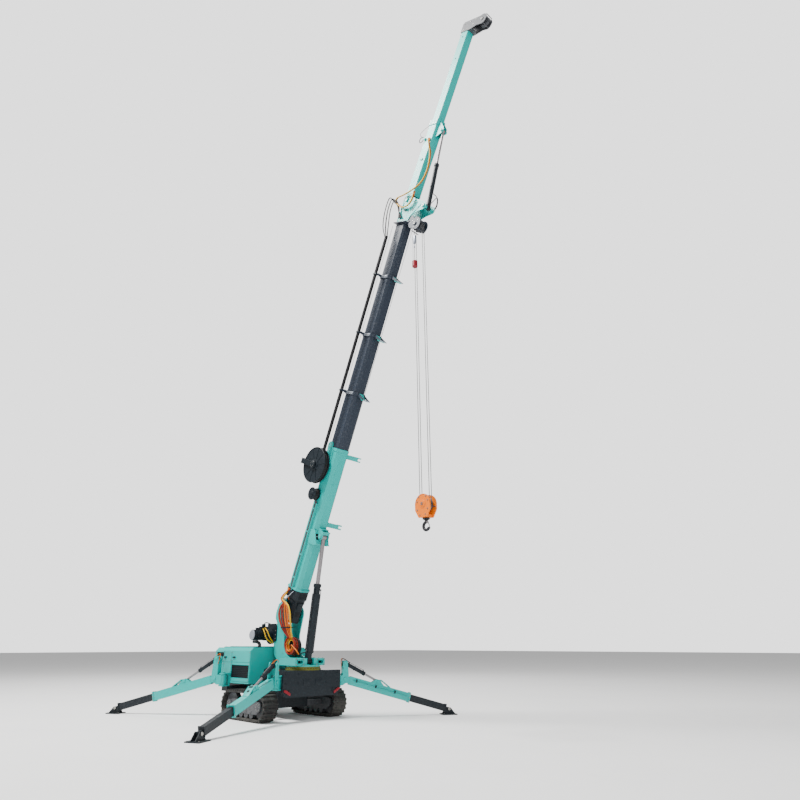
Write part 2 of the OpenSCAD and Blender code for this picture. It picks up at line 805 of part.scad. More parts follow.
head_outline = concat(
    [[140, 0], [140, 130], [40, 190], [-170, 190], [-330, 120]],
    arc([-sheave_n, sheave_s], 140, 60, 240, 12),
    [[-300, -120], [-220, 0]]
);

module boom_head()
    color(NAVY)
        head_frame() {
            block([-125, -260, 0], [125, 165, 26]);
            plate_pair(cheek_x, cheek_x + 14, head_outline);
            block([-cheek_x - 1, -170, 160], [cheek_x + 1, 60, 190]);
            block([-cheek_x - 1, 110, 20], [cheek_x + 1, 140, 130]);
            bar_x(30, -cheek_x - 34, cheek_x + 34, -sheave_n, sheave_s);
        }

module sheave(r, w, bore, x, y, z)
    translate([x - w / 2, y, z])
        rotate([0, 90, 0])
            rotate_extrude()
                polygon([
                    [bore, 0], [r, 0], [r, 3], [r - 16, w / 2 - 3], [r - 16, w / 2 + 3], [r, w - 3], [r, w], [bore, w]
                ]);

sheave_x = [-26, 26];

module head_sheaves()
    color(GREY)
        head_frame()
            for (x = sheave_x)
                sheave(sheave_r, 36, 30 + seat_gap, x, -sheave_n, sheave_s);

// Jib

jib_tilt = boom_angle - jib_angle;

module jib_frame()
    head_frame()
        translate([0, 0, jib_pivot_s])
            rotate([jib_tilt, 0, 0])
                children();

knuckle_x = cheek_x + 14 + seat_gap;

module jib_knuckle()
    color(TEAL)
        head_frame() {
            plate_pair(knuckle_x, knuckle_x + 14, [
                [130, 26 + seat_gap], [120, 330], [90, jib_pivot_s + 60], [0, jib_pivot_s + 110],
                [-110, jib_pivot_s + 60], [-330, 470], [-jib_foot_n - 40, jib_foot_s + 70],
                [-jib_foot_n - 70, jib_foot_s], [-jib_foot_n - 40, jib_foot_s - 60],
                [-420, 200], [-250, 130], [-200, 26 + seat_gap]
            ]);
            bar_x(30, -knuckle_x - 30, knuckle_x + 30, 0, jib_pivot_s);
            bar_x(26, -knuckle_x - 30, knuckle_x + 30, -jib_foot_n, jib_foot_s);
        }

jib_foot_at = boom_point(boom_len + jib_foot_s, jib_foot_n);
function jib_point(s, n) =
    let (p = boom_point(boom_len + jib_pivot_s, 0))
    [p[0] - s * cos(jib_angle) - n * sin(jib_angle), p[1] + s * sin(jib_angle) - n * cos(jib_angle)];
jib_pin_at = jib_point(jib_rod_s, jib_rod_n);
jib_cyl_len = norm(jib_pin_at - jib_foot_at);
jib_barrel_len = 960;
jib_barrel_r = 42;
jib_rod_r = 24;

module jib_barrel()
    color(BLACK)
        aim(jib_foot_at, jib_pin_at)
            barrel(jib_barrel_len, jib_barrel_r, jib_rod_r, 40, 90, 26);

module jib_rod()
    color(STEEL)
        aim(jib_foot_at, jib_pin_at)
            piston_rod(jib_cyl_len - 1000, jib_cyl_len, jib_rod_r, jib_barrel_r - 9, 30, 60);

jib_wall = 6;
jib_gap = 10;
jib_chamfer = 26;

module jib_1()
    color(TEAL)
        jib_frame() {
            difference() {
                union() {
                    section_tube(jib_w, jib_h, jib_chamfer, 12, jib_wall, 110, jib_base_len);
                    section_tube(jib_w + 24, jib_h + 24, jib_chamfer + 7, 19, 12 + jib_wall,
                                 jib_base_len - 110, jib_base_len);
                    plate_pair(jib_w / 2 - 16, jib_w / 2, concat(
                        [[-90, 130], [95, 130], [95, 0]], arc([0, 0], 95, 0, -180, 10)
                    ));
                }
                bar_x(30 + pin_gap, -jib_w, jib_w, 0, 0);
            }
            slide_pads(jib_w / 2 - jib_wall, jib_h / 2 - jib_wall, jib_gap, jib_gap + 3,
                       jib_base_len - 90, jib_base_len - 4);
            for (side = [-1, 1])
                difference() {
                    plate_yz(side * 44 - 7, side * 44 + 7, [
                        [-jib_h / 2 - 11, jib_rod_s + 230], [-jib_rod_n - 30, jib_rod_s + 60],
                        [-jib_rod_n - 46, jib_rod_s], [-jib_rod_n - 30, jib_rod_s - 40],
                        [-jib_h / 2 + 1, jib_rod_s - 130], [-jib_h / 2 + 1, jib_rod_s + 100]
                    ]);
                    bar_x(20, -60, 60, -jib_rod_n, jib_rod_s);
                }
            for (side = [-1, 1])
                bar_x(22, side * 55 - 17, side * 55 + 17, -jib_rod_n, jib_rod_s);
        }

jib_in_w = jib_w - 2 * (jib_wall + jib_gap);
jib_in_h = jib_h - 2 * (jib_wall + jib_gap + 3);
jib_tip = jib_base_len + jib_show;

module jib_2()
    color(TEAL)
        jib_frame()
            difference() {
                section_tube(jib_in_w, jib_in_h, jib_chamfer - 8, 8, jib_wall, jib_base_len - 380, jib_tip - 150);
                for (s = [jib_base_len + 1330, jib_tip - 260])
                    bar_x(16, -jib_w, jib_w, 10, s);
            }

jib_head_outline = concat(
    [[jib_in_h / 2 + 12, -150], [jib_in_h / 2 + 12, 40], [jib_in_h / 2 - 30, 70], [-320, 70]],
    arc([-430, -20], 110, 60, 250, 12),
    [[-330, -110], [-jib_in_h / 2 - 30, -150]]
);

module jib_head()
    color(GREY)
        jib_frame()
            translate([0, 0, jib_tip]) {
                plate_pair(jib_in_w / 2 + seat_gap, jib_in_w / 2 + 12, jib_head_outline);
                block([-jib_in_w / 2 - 1, -200, -150 + seat_gap], [jib_in_w / 2 + 1, jib_in_h / 2 + 12, -130]);
                block([-jib_in_w / 2 - 1, -300, 50], [jib_in_w / 2 + 1, jib_in_h / 2 - 30, 66]);
                sheave(104, 60, 24 + seat_gap, 0, -430, -20);
                bar_x(24, -jib_in_w / 2 - 20, jib_in_w / 2 + 20, -430, -20);
            }

// Hoist

head_pin = boom_point(boom_len + sheave_s, sheave_n);

module rope_falls()
    color(STEEL)
        for (x = sheave_x, side = [-1, 1])
            translate([x, head_pin[0] + side * (sheave_r - 9.5), block_z + 2])
                cylinder(h = head_pin[1] - block_z - 4, r = rope_r, $fn = 16);

block_cheek_x = 62;
block_outline = concat(
    arc([0, 0], 165, 0, 180, 12),
    [[-165, -90], [-90, -215], [90, -215], [165, -90]]
);

module hook_block()
    color(ORANGE)
        translate([0, head_pin[0], block_z]) {
            difference() {
                plate_pair(block_cheek_x, block_cheek_x + 22, block_outline);
                bar_x(24, -100, 100, 0, 0);
            }
            bar_x(25, -block_cheek_x - 34, block_cheek_x + 34, 0, 0);
            block([-block_cheek_x - 1, -70, -215], [block_cheek_x + 1, 70, -165]);
        }

module block_sheaves()
    color(GREY)
        for (x = sheave_x)
            sheave(sheave_r, 36, 25 + seat_gap, x, head_pin[0], block_z);

// Forged hook: nut, shank, bowl and point
hook_r = 62;

module hook()
    color(BLACK)
        translate([0, head_pin[0], block_z - 215]) {
            translate([0, 0, -70])
                cylinder(h = 70 - seat_gap, r = 26);
            translate([0, 0, -34])
                cylinder(h = 28, r = 48);
            translate([0, 0, -70 - hook_r])
                rotate([90, 0, 90])
                    rotate_extrude(angle = -250, start = 90)
                        translate([hook_r, 0])
                            circle(r = 24);
        }

// Legs

leg_hinge_x = 140;
ankle_z = 95;
leg_slope = atan((leg_hinge_z - ankle_z) / (leg_reach - leg_hinge_x));
leg_len = (leg_reach - leg_hinge_x) / cos(leg_slope);
yoke_gap = leg_w / 2 + move_gap;
yoke_t = 14;
lug_s = 620;
lug_n = 120;
hinge_pin_r = 24;
leg_cyl_pin_r = 18;

module leg_frame()
    translate([leg_hinge_x, 0, leg_hinge_z])
        rotate([0, leg_slope, 0])
            children();

// An outline drawn in X and Z, as thick as y0 to y1
module plate_xz(y0, y1, points)
    translate([0, y1, 0])
        rotate([90, 0, 0])
            linear_extrude(y1 - y0)
                polygon(points);

module bar_y(r, y0, y1, x, z)
    translate([x, y1, z])
        rotate([90, 0, 0])
            cylinder(h = y1 - y0, r = r);

module leg_yoke(leg)
    color(TEAL)
        leg_place(leg) {
            top = leg[5];
            difference() {
                union() {
                    translate([0, 0, bracket_z[1] + 4])
                        cylinder(h = bracket_top_z[0] - bracket_z[1] - 8, r = 70);
                    for (y = [-yoke_gap - yoke_t, yoke_gap])
                        plate_xz(y, y + yoke_t, concat(
                            [[0, bracket_z[1] + 8], [90, bracket_z[1] + 8]],
                            arc([leg_hinge_x, leg_hinge_z], 66, -70, 0, 5),
                            [[leg_hinge_x + 66, leg_hinge_z + 60], [leg_hinge_x + 44, top - 20]],
                            arc([leg_hinge_x, top], 44, 0, 180, 8),
                            [[leg_hinge_x - 52, top - 60], [leg_hinge_x - 52, bracket_top_z[0] - 8], [0, bracket_top_z[0] - 8]]
                        ));
                    block([leg_hinge_x - 52, -yoke_gap - 1, bracket_top_z[1] + 10], [leg_hinge_x - 42, yoke_gap + 1, top - 60]);
                    bar_y(hinge_pin_r, -yoke_gap - yoke_t - 10, yoke_gap + yoke_t + 10, leg_hinge_x, leg_hinge_z);
                    bar_y(leg_cyl_pin_r, -yoke_gap - yoke_t - 8, yoke_gap + yoke_t + 8, leg_hinge_x, top);
                }
                translate([0, 0, bracket_z[0]])
                    cylinder(h = bracket_top_z[1] - bracket_z[0], r = swing_pin_r + pin_gap);
            }
        }

module box_tube(w, h, wall, x0, x1)
    difference() {
        block([x0, -w / 2, -h / 2], [x1, w / 2, h / 2]);
        block([x0 - 1, -w / 2 + wall, -h / 2 + wall], [x1 + 1, w / 2 - wall, h / 2 - wall]);
    }

module leg_beam(leg)
    color(TEAL)
        leg_place(leg)
            leg_frame() {
                difference() {
                    union() {
                        box_tube(leg_w, leg_h, leg_wall, 90, leg_outer_len);
                        box_tube(leg_w + 26, leg_h + 26, leg_wall + 13, leg_outer_len - 24, leg_outer_len);
                        bar_y(58, -leg_w / 2 + 3, leg_w / 2 - 3, 0, 0);
                        block([0, -leg_w / 2 + 3, -58], [110, leg_w / 2 - 3, 58]);
                    }
                    bar_y(hinge_pin_r + pin_gap, -leg_w, leg_w, 0, 0);
                }
                rotate([0, 90, 0])
                    slide_pads(leg_h / 2 - leg_wall, leg_w / 2 - leg_wall, inner_gap, inner_gap,
                               leg_outer_len - 60, leg_outer_len - 4);
                for (y = [-46, 34])
                    plate_xz(y, y + 12, [
                        [lug_s - 110, leg_h / 2 - 1], [lug_s - 34, lug_n + 30], [lug_s + 34, lug_n + 30],
                        [lug_s + 130, leg_h / 2 - 1]
                    ]);
                // Closing plate of the lug, down its outer slope
                plate_xz(-35, 35, [
                    [lug_s + 35, lug_n + 30], [lug_s + 131, leg_h / 2 - 1], [lug_s + 121, leg_h / 2 - 1],
                    [lug_s + 27, lug_n + 30]
                ]);
                for (y = [-54, 36])
                    bar_y(leg_cyl_pin_r, y, y + 18, lug_s, lug_n);
            }

inner_gap = 6;
inner_w = leg_w - 2 * (leg_wall + inner_gap);
inner_h = leg_h - 2 * (leg_wall + inner_gap);
inner_tail = 830;

module leg_inner(leg)
    color(BLACK)
        leg_place(leg) {
            leg_frame() {
                box_tube(inner_w, inner_h, leg_wall, inner_tail, leg_len - 60);
                block([leg_len - 80, -inner_w / 2 - 10, -inner_h / 2 - 10], [leg_len - 60, inner_w / 2 + 10, inner_h / 2 + 10]);
                block([leg_len - 62, -26, -30], [leg_len + 20, 26, 30]);
            }
            block([leg_reach - foot_len / 2, -foot_w / 2, 0], [leg_reach + foot_len / 2, foot_w / 2, 16]);
            for (y = [-44, 32])
                plate_xz(y, y + 12, [
                    [leg_reach - foot_len / 2 + 15, 15], [leg_reach - 34, ankle_z + 26],
                    [leg_reach + 34, ankle_z + 26], [leg_reach + foot_len / 2 - 15, 15]
                ]);
            bar_y(20, -56, 56, leg_reach, ankle_z);
        }

function leg_pin(leg) = [
    leg_hinge_x + lug_s * cos(leg_slope) + lug_n * sin(leg_slope),
    leg_hinge_z - lug_s * sin(leg_slope) + lug_n * cos(leg_slope)
];
function leg_cyl_len(leg) = norm(leg_pin(leg) - [leg_hinge_x, leg[5]]);

// Local Z along the cylinder, from the yoke pin to the lug pin
module leg_aim(leg)
    leg_place(leg)
        translate([leg_hinge_x, 0, leg[5]])
            rotate([0, atan2(leg_pin(leg)[0] - leg_hinge_x, leg_pin(leg)[1] - leg[5]), 0])
                rotate([0, 0, 90])
                    children();

leg_barrel_len = 430;
leg_barrel_r = 34;
leg_rod_r = 19;

module leg_barrel(leg)
    color(BLACK)
        leg_aim(leg)
            barrel(leg_barrel_len, leg_barrel_r, leg_rod_r, 32, 60, leg_cyl_pin_r);

module leg_rod(leg)
    color(STEEL)
        leg_aim(leg)
            piston_rod(leg_cyl_len(leg) - leg_barrel_len, leg_cyl_len(leg), leg_rod_r, leg_barrel_r - 9, 26, 44);

chassis_frame();
front_beam();
leg_brackets();
slew_ring();
rubber_track(-1);  // track_right
rubber_track(1);  // track_left
track_frame(-1);  // track_frame_right
track_frame(1);  // track_frame_left
engine_housing();
housing_grilles();
engine_block();
union() {
    turret();
    color(STEEL)
        luff_pin();
}
winch_frame();
winch_drum();
luff_barrel();
luff_rod();
boom_foot();
boom_1();
boom_1_fittings();
stow_brackets();
hose_reels();
boom_section(1);  // boom_2
boom_section(2);  // boom_3
boom_section(3);  // boom_4
boom_section(4);  // boom_5
boom_head();
head_sheaves();
jib_knuckle();
jib_barrel();
jib_rod();
jib_1();
jib_2();
jib_head();
rope_falls();
hook_block();
block_sheaves();
hook();
for (leg = LEGS) {
    leg_yoke(leg);
    leg_beam(leg);
    leg_inner(leg);
    leg_barrel(leg);
    leg_rod(leg);
}
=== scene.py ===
"""Looks of a tracked spider crane: finishes, hoses, ropes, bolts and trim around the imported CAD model."""

from __future__ import annotations

import json
import logging
import math
from abc import ABC, abstractmethod
from contextlib import contextmanager
from dataclasses import dataclass, field
from enum import Enum
from typing import Iterable, Iterator, Sequence

import bmesh
import bpy
from mathutils import Matrix, Vector

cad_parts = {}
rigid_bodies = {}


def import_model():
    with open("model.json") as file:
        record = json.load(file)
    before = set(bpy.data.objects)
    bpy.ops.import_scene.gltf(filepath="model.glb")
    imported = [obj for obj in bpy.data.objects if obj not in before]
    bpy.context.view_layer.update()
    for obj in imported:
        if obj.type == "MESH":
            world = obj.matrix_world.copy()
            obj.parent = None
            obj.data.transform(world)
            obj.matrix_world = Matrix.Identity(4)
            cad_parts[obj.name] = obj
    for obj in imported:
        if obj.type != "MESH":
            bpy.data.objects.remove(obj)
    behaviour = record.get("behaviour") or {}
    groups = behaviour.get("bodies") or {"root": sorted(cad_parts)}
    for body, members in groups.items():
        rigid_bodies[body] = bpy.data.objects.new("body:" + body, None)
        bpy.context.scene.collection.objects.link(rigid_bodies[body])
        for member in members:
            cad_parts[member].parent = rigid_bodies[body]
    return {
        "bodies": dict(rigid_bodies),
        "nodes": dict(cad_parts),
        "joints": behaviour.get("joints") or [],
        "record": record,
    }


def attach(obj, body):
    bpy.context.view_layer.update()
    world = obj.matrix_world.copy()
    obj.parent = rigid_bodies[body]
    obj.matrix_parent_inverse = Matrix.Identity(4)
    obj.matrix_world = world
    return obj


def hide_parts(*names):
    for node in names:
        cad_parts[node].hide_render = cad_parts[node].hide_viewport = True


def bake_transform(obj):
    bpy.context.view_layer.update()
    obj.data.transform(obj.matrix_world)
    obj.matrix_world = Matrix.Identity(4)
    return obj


LOG = logging.getLogger("spider_crane")

Colour = tuple[float, float, float]
Socket = bpy.types.NodeSocket

# Main directions of the crane's frame: left, back and up
X, Y, Z = (Vector(row) for row in Matrix.Identity(3))


# Frame helpers


@dataclass
class Crane:
    """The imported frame, with its joints by name.
    """

    frame: dict

    def joint(self, name: str) -> dict:
        """Finds a joint.

        Args:
            name: The joint's name.

        Returns:
            The joint as the record states it.
        """
        return next(j for j in self.frame["joints"] if j["name"] == name)

    def pivot(self, name: str) -> Vector:
        """Place of a hinge at rest, in metres."""
        return Vector(self.joint(name)["pos_m"])

    def heading(self, name: str) -> Vector:
        """Unit vector along a joint's axis."""
        return Vector(self.joint(name)["axis"]).normalized()

    def node(self, name: str) -> bpy.types.Object:
        """The CAD node of that name."""
        return self.frame["nodes"][name]


@dataclass
class Beam:
    """A straight member with a station along it, a height above its centre line and a place across.

    Args:
        origin: Where station 0 is.
        along: Unit vector of growing stations.
        across: Unit vector to the member's left.
    """

    origin: Vector
    along: Vector
    across: Vector = field(default_factory=lambda: X)

    @property
    def up(self) -> Vector:
        """Unit vector out of the member's upper side."""
        return self.across.cross(self.along).normalized() * -1

    def at(self, across: float, station: float, height: float) -> Vector:
        """Turns member coordinates into a point.

        Args:
            across: Metres to the left of the centre plane.
            station: Metres along the member.
            height: Metres above the centre line.

        Returns:
            The point in the crane's frame.
        """
        return self.origin + self.across * across + self.along * station + self.up * height

    @property
    def place(self) -> Matrix:
        """Transform from the member's own X (across), Y (height) and Z (station) to the crane's frame."""
        return Matrix.Translation(self.origin) @ Matrix((self.across, self.up, self.along)).transposed().to_4x4()


# Shapes


def new_piece(name: str, mesh: bpy.types.Mesh, finish: bpy.types.Material) -> bpy.types.Object:
    """Makes an object of a mesh at the origin.

    Args:
        name: The piece's name.
        mesh: Its mesh, in place.
        finish: Its material.

    Returns:
        The new object.
    """
    piece = bpy.data.objects.new(name, mesh)
    bpy.context.collection.objects.link(piece)
    piece.data.materials.append(finish)
    return piece


def arc_points(centre: Vector, first: Vector, second: Vector, radius: float, start: float, end: float,
               count: int) -> list[Vector]:
    """Points of an arc.

    Args:
        centre: Its middle.
        first: Unit vector at 0 degrees.
        second: Unit vector at 90 degrees.
        radius: Its radius.
        start: First angle in degrees.
        end: Last angle in degrees.
        count: Number of points.

    Returns:
        The points.
    """
    points = []
    for k in range(count):
        angle = math.radians(start + (end - start) * k / (count - 1))
        points.append(centre + first * (radius * math.cos(angle)) + second * (radius * math.sin(angle)))
    return points


def smooth_path(points: Sequence[Vector], steps: int) -> list[Vector]:
    """Runs a smooth curve through points.

    Args:
        points: The points on the curve.
        steps: Pieces between two points.

    Returns:
        The finer points, ends included.
    """
    ends = [points[0] * 2 - points[1], *points, points[-1] * 2 - points[-2]]
    path = []
    for a, b, c, d in zip(ends, ends[1:], ends[2:], ends[3:]):
        for k in range(steps):
            t = k / steps
            path.append(0.5 * (2 * b + (c - a) * t + (2 * a - 5 * b + 4 * c - d) * t * t + (3 * b - a - 3 * c + d) * t**3))
    path.append(points[-1].copy())
    return path


class Shape:
    """A mesh in the making, to which closed solids are added."""

    def __init__(self) -> None:
        """Starts empty."""
        self.bm = bmesh.new()

    def skin(self, rings: Sequence[Sequence[bmesh.types.BMVert]]) -> None:
        """Joins closed rings of vertices and closes both ends."""
        self.join(rings)
        self.bm.faces.new(list(reversed(rings[0])))
        self.bm.faces.new(rings[-1])

    def join(self, rings: Sequence[Sequence[bmesh.types.BMVert]]) -> None:
        """Joins closed rings of vertices and leaves the ends open."""
        for low, high in zip(rings, rings[1:]):
            for a, b, c, d in zip(low, [*low[1:], low[0]], [*high[1:], high[0]], high):
                self.bm.faces.new((a, b, c, d))

    def box(self, low: Sequence[float], high: Sequence[float], place: Matrix = Matrix()) -> None:
        """Adds a box.

        Args:
            low: Lowest corner.
            high: Highest corner.
            place: Transform of the box.
        """
        self.prism([place @ Vector((x, y, low[2])) for x, y in ((low[0], low[1]), (high[0], low[1]), (high[0], high[1]), (low[0], high[1]))],
                   place.to_3x3() @ Vector((0, 0, high[2] - low[2])))

    def pair(self, low: Sequence[float], high: Sequence[float], place: Matrix = Matrix()) -> None:
        """Adds a box on the left side and its mirror image on the right.

        Args:
            low: Lowest corner of the left one.
            high: Highest corner of the left one.
            place: Transform of both.
        """
        self.box(low, high, place)
        self.box((-high[0], low[1], low[2]), (-low[0], high[1], high[2]), place)

    def prism(self, outline: Sequence[Vector], depth: Vector) -> None:
        """Adds a prism.

        Args:
            outline: Corners of one end, in order.
            depth: From one end to the other.
        """
        self.skin([[self.bm.verts.new(p) for p in outline], [self.bm.verts.new(p + depth) for p in outline]])

    def turned(self, profile: Sequence[tuple[float, float]], base: Vector, along: Vector, sides: int = 32) -> None:
        """Adds a turned solid.

        Args:
            profile: Radius and height pairs from one end to the other.
            base: Where height 0 is.
            along: Direction of the turning axis.
            sides: Faces round it.
        """
        self.skin(self.circles(profile, base, along, sides))

    def circles(self, profile: Sequence[tuple[float, float]], base: Vector, along: Vector, sides: int) -> list[list[bmesh.types.BMVert]]:
        """Gives one ring of new vertices for each radius and height of a profile."""
        turn = along.normalized().to_track_quat("Z", "Y").to_matrix()
        first, second, axis = turn.col[0], turn.col[1], turn.col[2]
        return [[self.bm.verts.new(p) for p in arc_points(base + axis * height, first, second, radius, 0, 360, sides + 1)[:-1]]
                for radius, height in profile]

    def band(self, base: Vector, along: Vector, bore: float, radius: float, length: float, sides: int = 36) -> None:
        """Adds a ring that is open in its middle.

        Args:
            base: Where the ring starts.
            along: Direction of its axis.
            bore: Radius of the opening.
            radius: Radius of its outer face.
            length: Its length along the axis.
            sides: Faces round it.
        """
        rim = min(0.003, length / 8)
        rings = self.circles(((bore, 0), (radius, rim), (radius, length - rim), (bore, length)), base, along, sides)
        self.join([*rings, rings[0]])

    def cap(self, centre: Vector, out: Vector, radius: float, rise: float = 0.008, sink: float = 0.004) -> None:
        """Adds a round pin head or cover with a bevelled rim.

        Args:
            centre: Middle of its foot.
            out: Direction that it faces.
            radius: Its radius.
            rise: Its height over the foot.
            sink: Its depth under the foot.
        """
        self.turned(((radius, -sink), (radius, rise * 0.45), (radius * 0.86, rise), (0.001, rise)), centre, out, 28)

    def tube(self, path: Sequence[Vector], radius: float, sides: int = 10) -> None:
        """Adds a tube.

        Args:
            path: Points of the centre line.
            radius: The tube's radius.
            sides: Faces round it.
        """
        normal = (path[1] - path[0]).orthogonal()
        rings = []
        for before, point, after in zip([path[0], *path], path, [*path[1:], path[-1]]):
            tangent = (after - before).normalized()
            normal = (normal - tangent * normal.dot(tangent)).normalized()
            ring = arc_points(point, normal, tangent.cross(normal), radius, 0, 360, sides + 1)[:-1]
            rings.append([self.bm.verts.new(p) for p in ring])
        self.skin(rings)

    def piece(self, name: str, finish: bpy.types.Material, bevel: float = 0.0, smooth: float = 35.0) -> bpy.types.Object:
        """Closes the shape into a piece with outward faces.

        Args:
            name: The piece's name.
            finish: Its material.
            bevel: Width of the rounding on sharp edges.
            smooth: Edges flatter than this many degrees are shaded smooth.

        Returns:
            The piece.
        """
        bm = self.bm
        bmesh.ops.remove_doubles(bm, verts=bm.verts, dist=1e-6)
        if bevel > 0:
            sharp = [e for e in bm.edges if len(e.link_faces) == 2 and e.calc_face_angle(0.0) > math.radians(40)]
            bmesh.ops.bevel(bm, geom=sharp, offset=bevel, segments=2, profile=0.6, affect="EDGES", clamp_overlap=True)
            bmesh.ops.remove_doubles(bm, verts=bm.verts, dist=1e-5)
        bmesh.ops.recalc_face_normals(bm, faces=bm.faces)
        for edge in bm.edges:
            edge.smooth = len(edge.link_faces) == 2 and edge.calc_face_angle(0.0) < math.radians(smooth)
        for face in bm.faces:
            face.smooth = True
        mesh = bpy.data.meshes.new(name)
        bm.to_mesh(mesh)
        bm.free()
        return new_piece(name, mesh, finish)


# Shader node groups, each shared by several materials


class NodeTree:
    """A short way to build a node tree.

    Args:
        tree: The tree to fill.
    """

    def __init__(self, tree: bpy.types.NodeTree) -> None:
        """Keeps the tree."""
        self.tree = tree

    def add(self, kind: str, **settings: object) -> bpy.types.Node:
        """Adds a node.

        Args:
            kind: Its type's name.
            settings: Properties, or sockets where the name isn't a property.

        Returns:
            The node.
        """
        node = self.tree.nodes.new(kind)
        for key, value in settings.items():
            if hasattr(node, key):
                setattr(node, key, value)
            else:
                node.inputs[key.replace("_", " ")].default_value = value
        return node

    def join(self, source: Socket, target: Socket) -> None:
        """Links two sockets."""
        self.tree.links.new(source, target)

    def math(self, operation: str, a: Socket | float, b: Socket | float = 0.0, clamp: bool = False) -> Socket:
        """Adds a maths node.

        Args:
            operation: What it does.
            a: First value or socket.
            b: Second value or socket.
            clamp: Keeps the result from 0 to 1.

        Returns:
            The result's socket.
        """
        node = self.add("ShaderNodeMath", operation=operation, use_clamp=clamp)
        for socket, value in zip(node.inputs, (a, b)):
            if isinstance(value, bpy.types.NodeSocket):
                self.join(value, socket)
            else:
                socket.default_value = value
        return node.outputs[0]

    def ramp(self, source: Socket, low: float, high: float) -> Socket:
        """Maps low to 0 and high to 1 with a smooth step.

        Args:
            source: The value.
            low: What becomes 0.
            high: What becomes 1.

        Returns:
            The mapped value's socket.
        """
        node = self.add("ShaderNodeMapRange", interpolation_type="SMOOTHSTEP")
        self.join(source, node.inputs["Value"])
        node.inputs["From Min"].default_value = low
        node.inputs["From Max"].default_value = high
        return node.outputs["Result"]

    def mix(self, share: Socket, first: Socket | Colour, second: Socket | Colour) -> Socket:
        """Mixes two colours.

        Args:
            share: How much of the second.
            first: First colour or socket.
            second: Second colour or socket.

        Returns:
            The mixed colour's socket.
        """
        node = self.add("ShaderNodeMix", data_type="RGBA")
        self.join(share, node.inputs["Factor"])
        for socket, value in ((node.inputs[6], first), (node.inputs[7], second)):
            if isinstance(value, bpy.types.NodeSocket):
                self.join(value, socket)
            else:
                socket.default_value = (*value, 1.0)
        return node.outputs[2]

    def noise(self, scale: float, detail: float = 4.0, roughness: float = 0.6, stretch: Colour = (1, 1, 1)) -> Socket:
        """Adds noise on object coordinates.

        Args:
            scale: Its scale, per metre.
            detail: Its octaves.
            roughness: Weight of the finer ones.
            stretch: Scale along each axis.

        Returns:
            The noise's value socket.
        """
        place = self.add("ShaderNodeTexCoord")
        mapping = self.add("ShaderNodeMapping")
        mapping.inputs["Scale"].default_value = stretch
        self.join(place.outputs["Object"], mapping.inputs["Vector"])
        node = self.add("ShaderNodeTexNoise")
        self.join(mapping.outputs["Vector"], node.inputs["Vector"])
        node.inputs["Scale"].default_value = scale
        node.inputs["Detail"].default_value = detail
        node.inputs["Roughness"].default_value = roughness
        return node.outputs["Fac"]


def group_sockets(
    tree: bpy.types.NodeTree, inputs: Iterable[tuple[str, str, object]], outputs: Iterable[tuple[str, str]]
) -> tuple[bpy.types.Node, bpy.types.Node]:
    """Gives a node group its sockets.

    Args:
        tree: The group.
        inputs: Name, socket type and default of each input.
        outputs: Name and socket type of each output.

    Returns:
        The group's input node and its output node.
    """
    for name, kind, default in inputs:
        socket = tree.interface.new_socket(name=name, in_out="INPUT", socket_type=kind)
        if default is not None:
            socket.default_value = default
    for name, kind in outputs:
        tree.interface.new_socket(name=name, in_out="OUTPUT", socket_type=kind)
    return tree.nodes.new("NodeGroupInput"), tree.nodes.new("NodeGroupOutput")


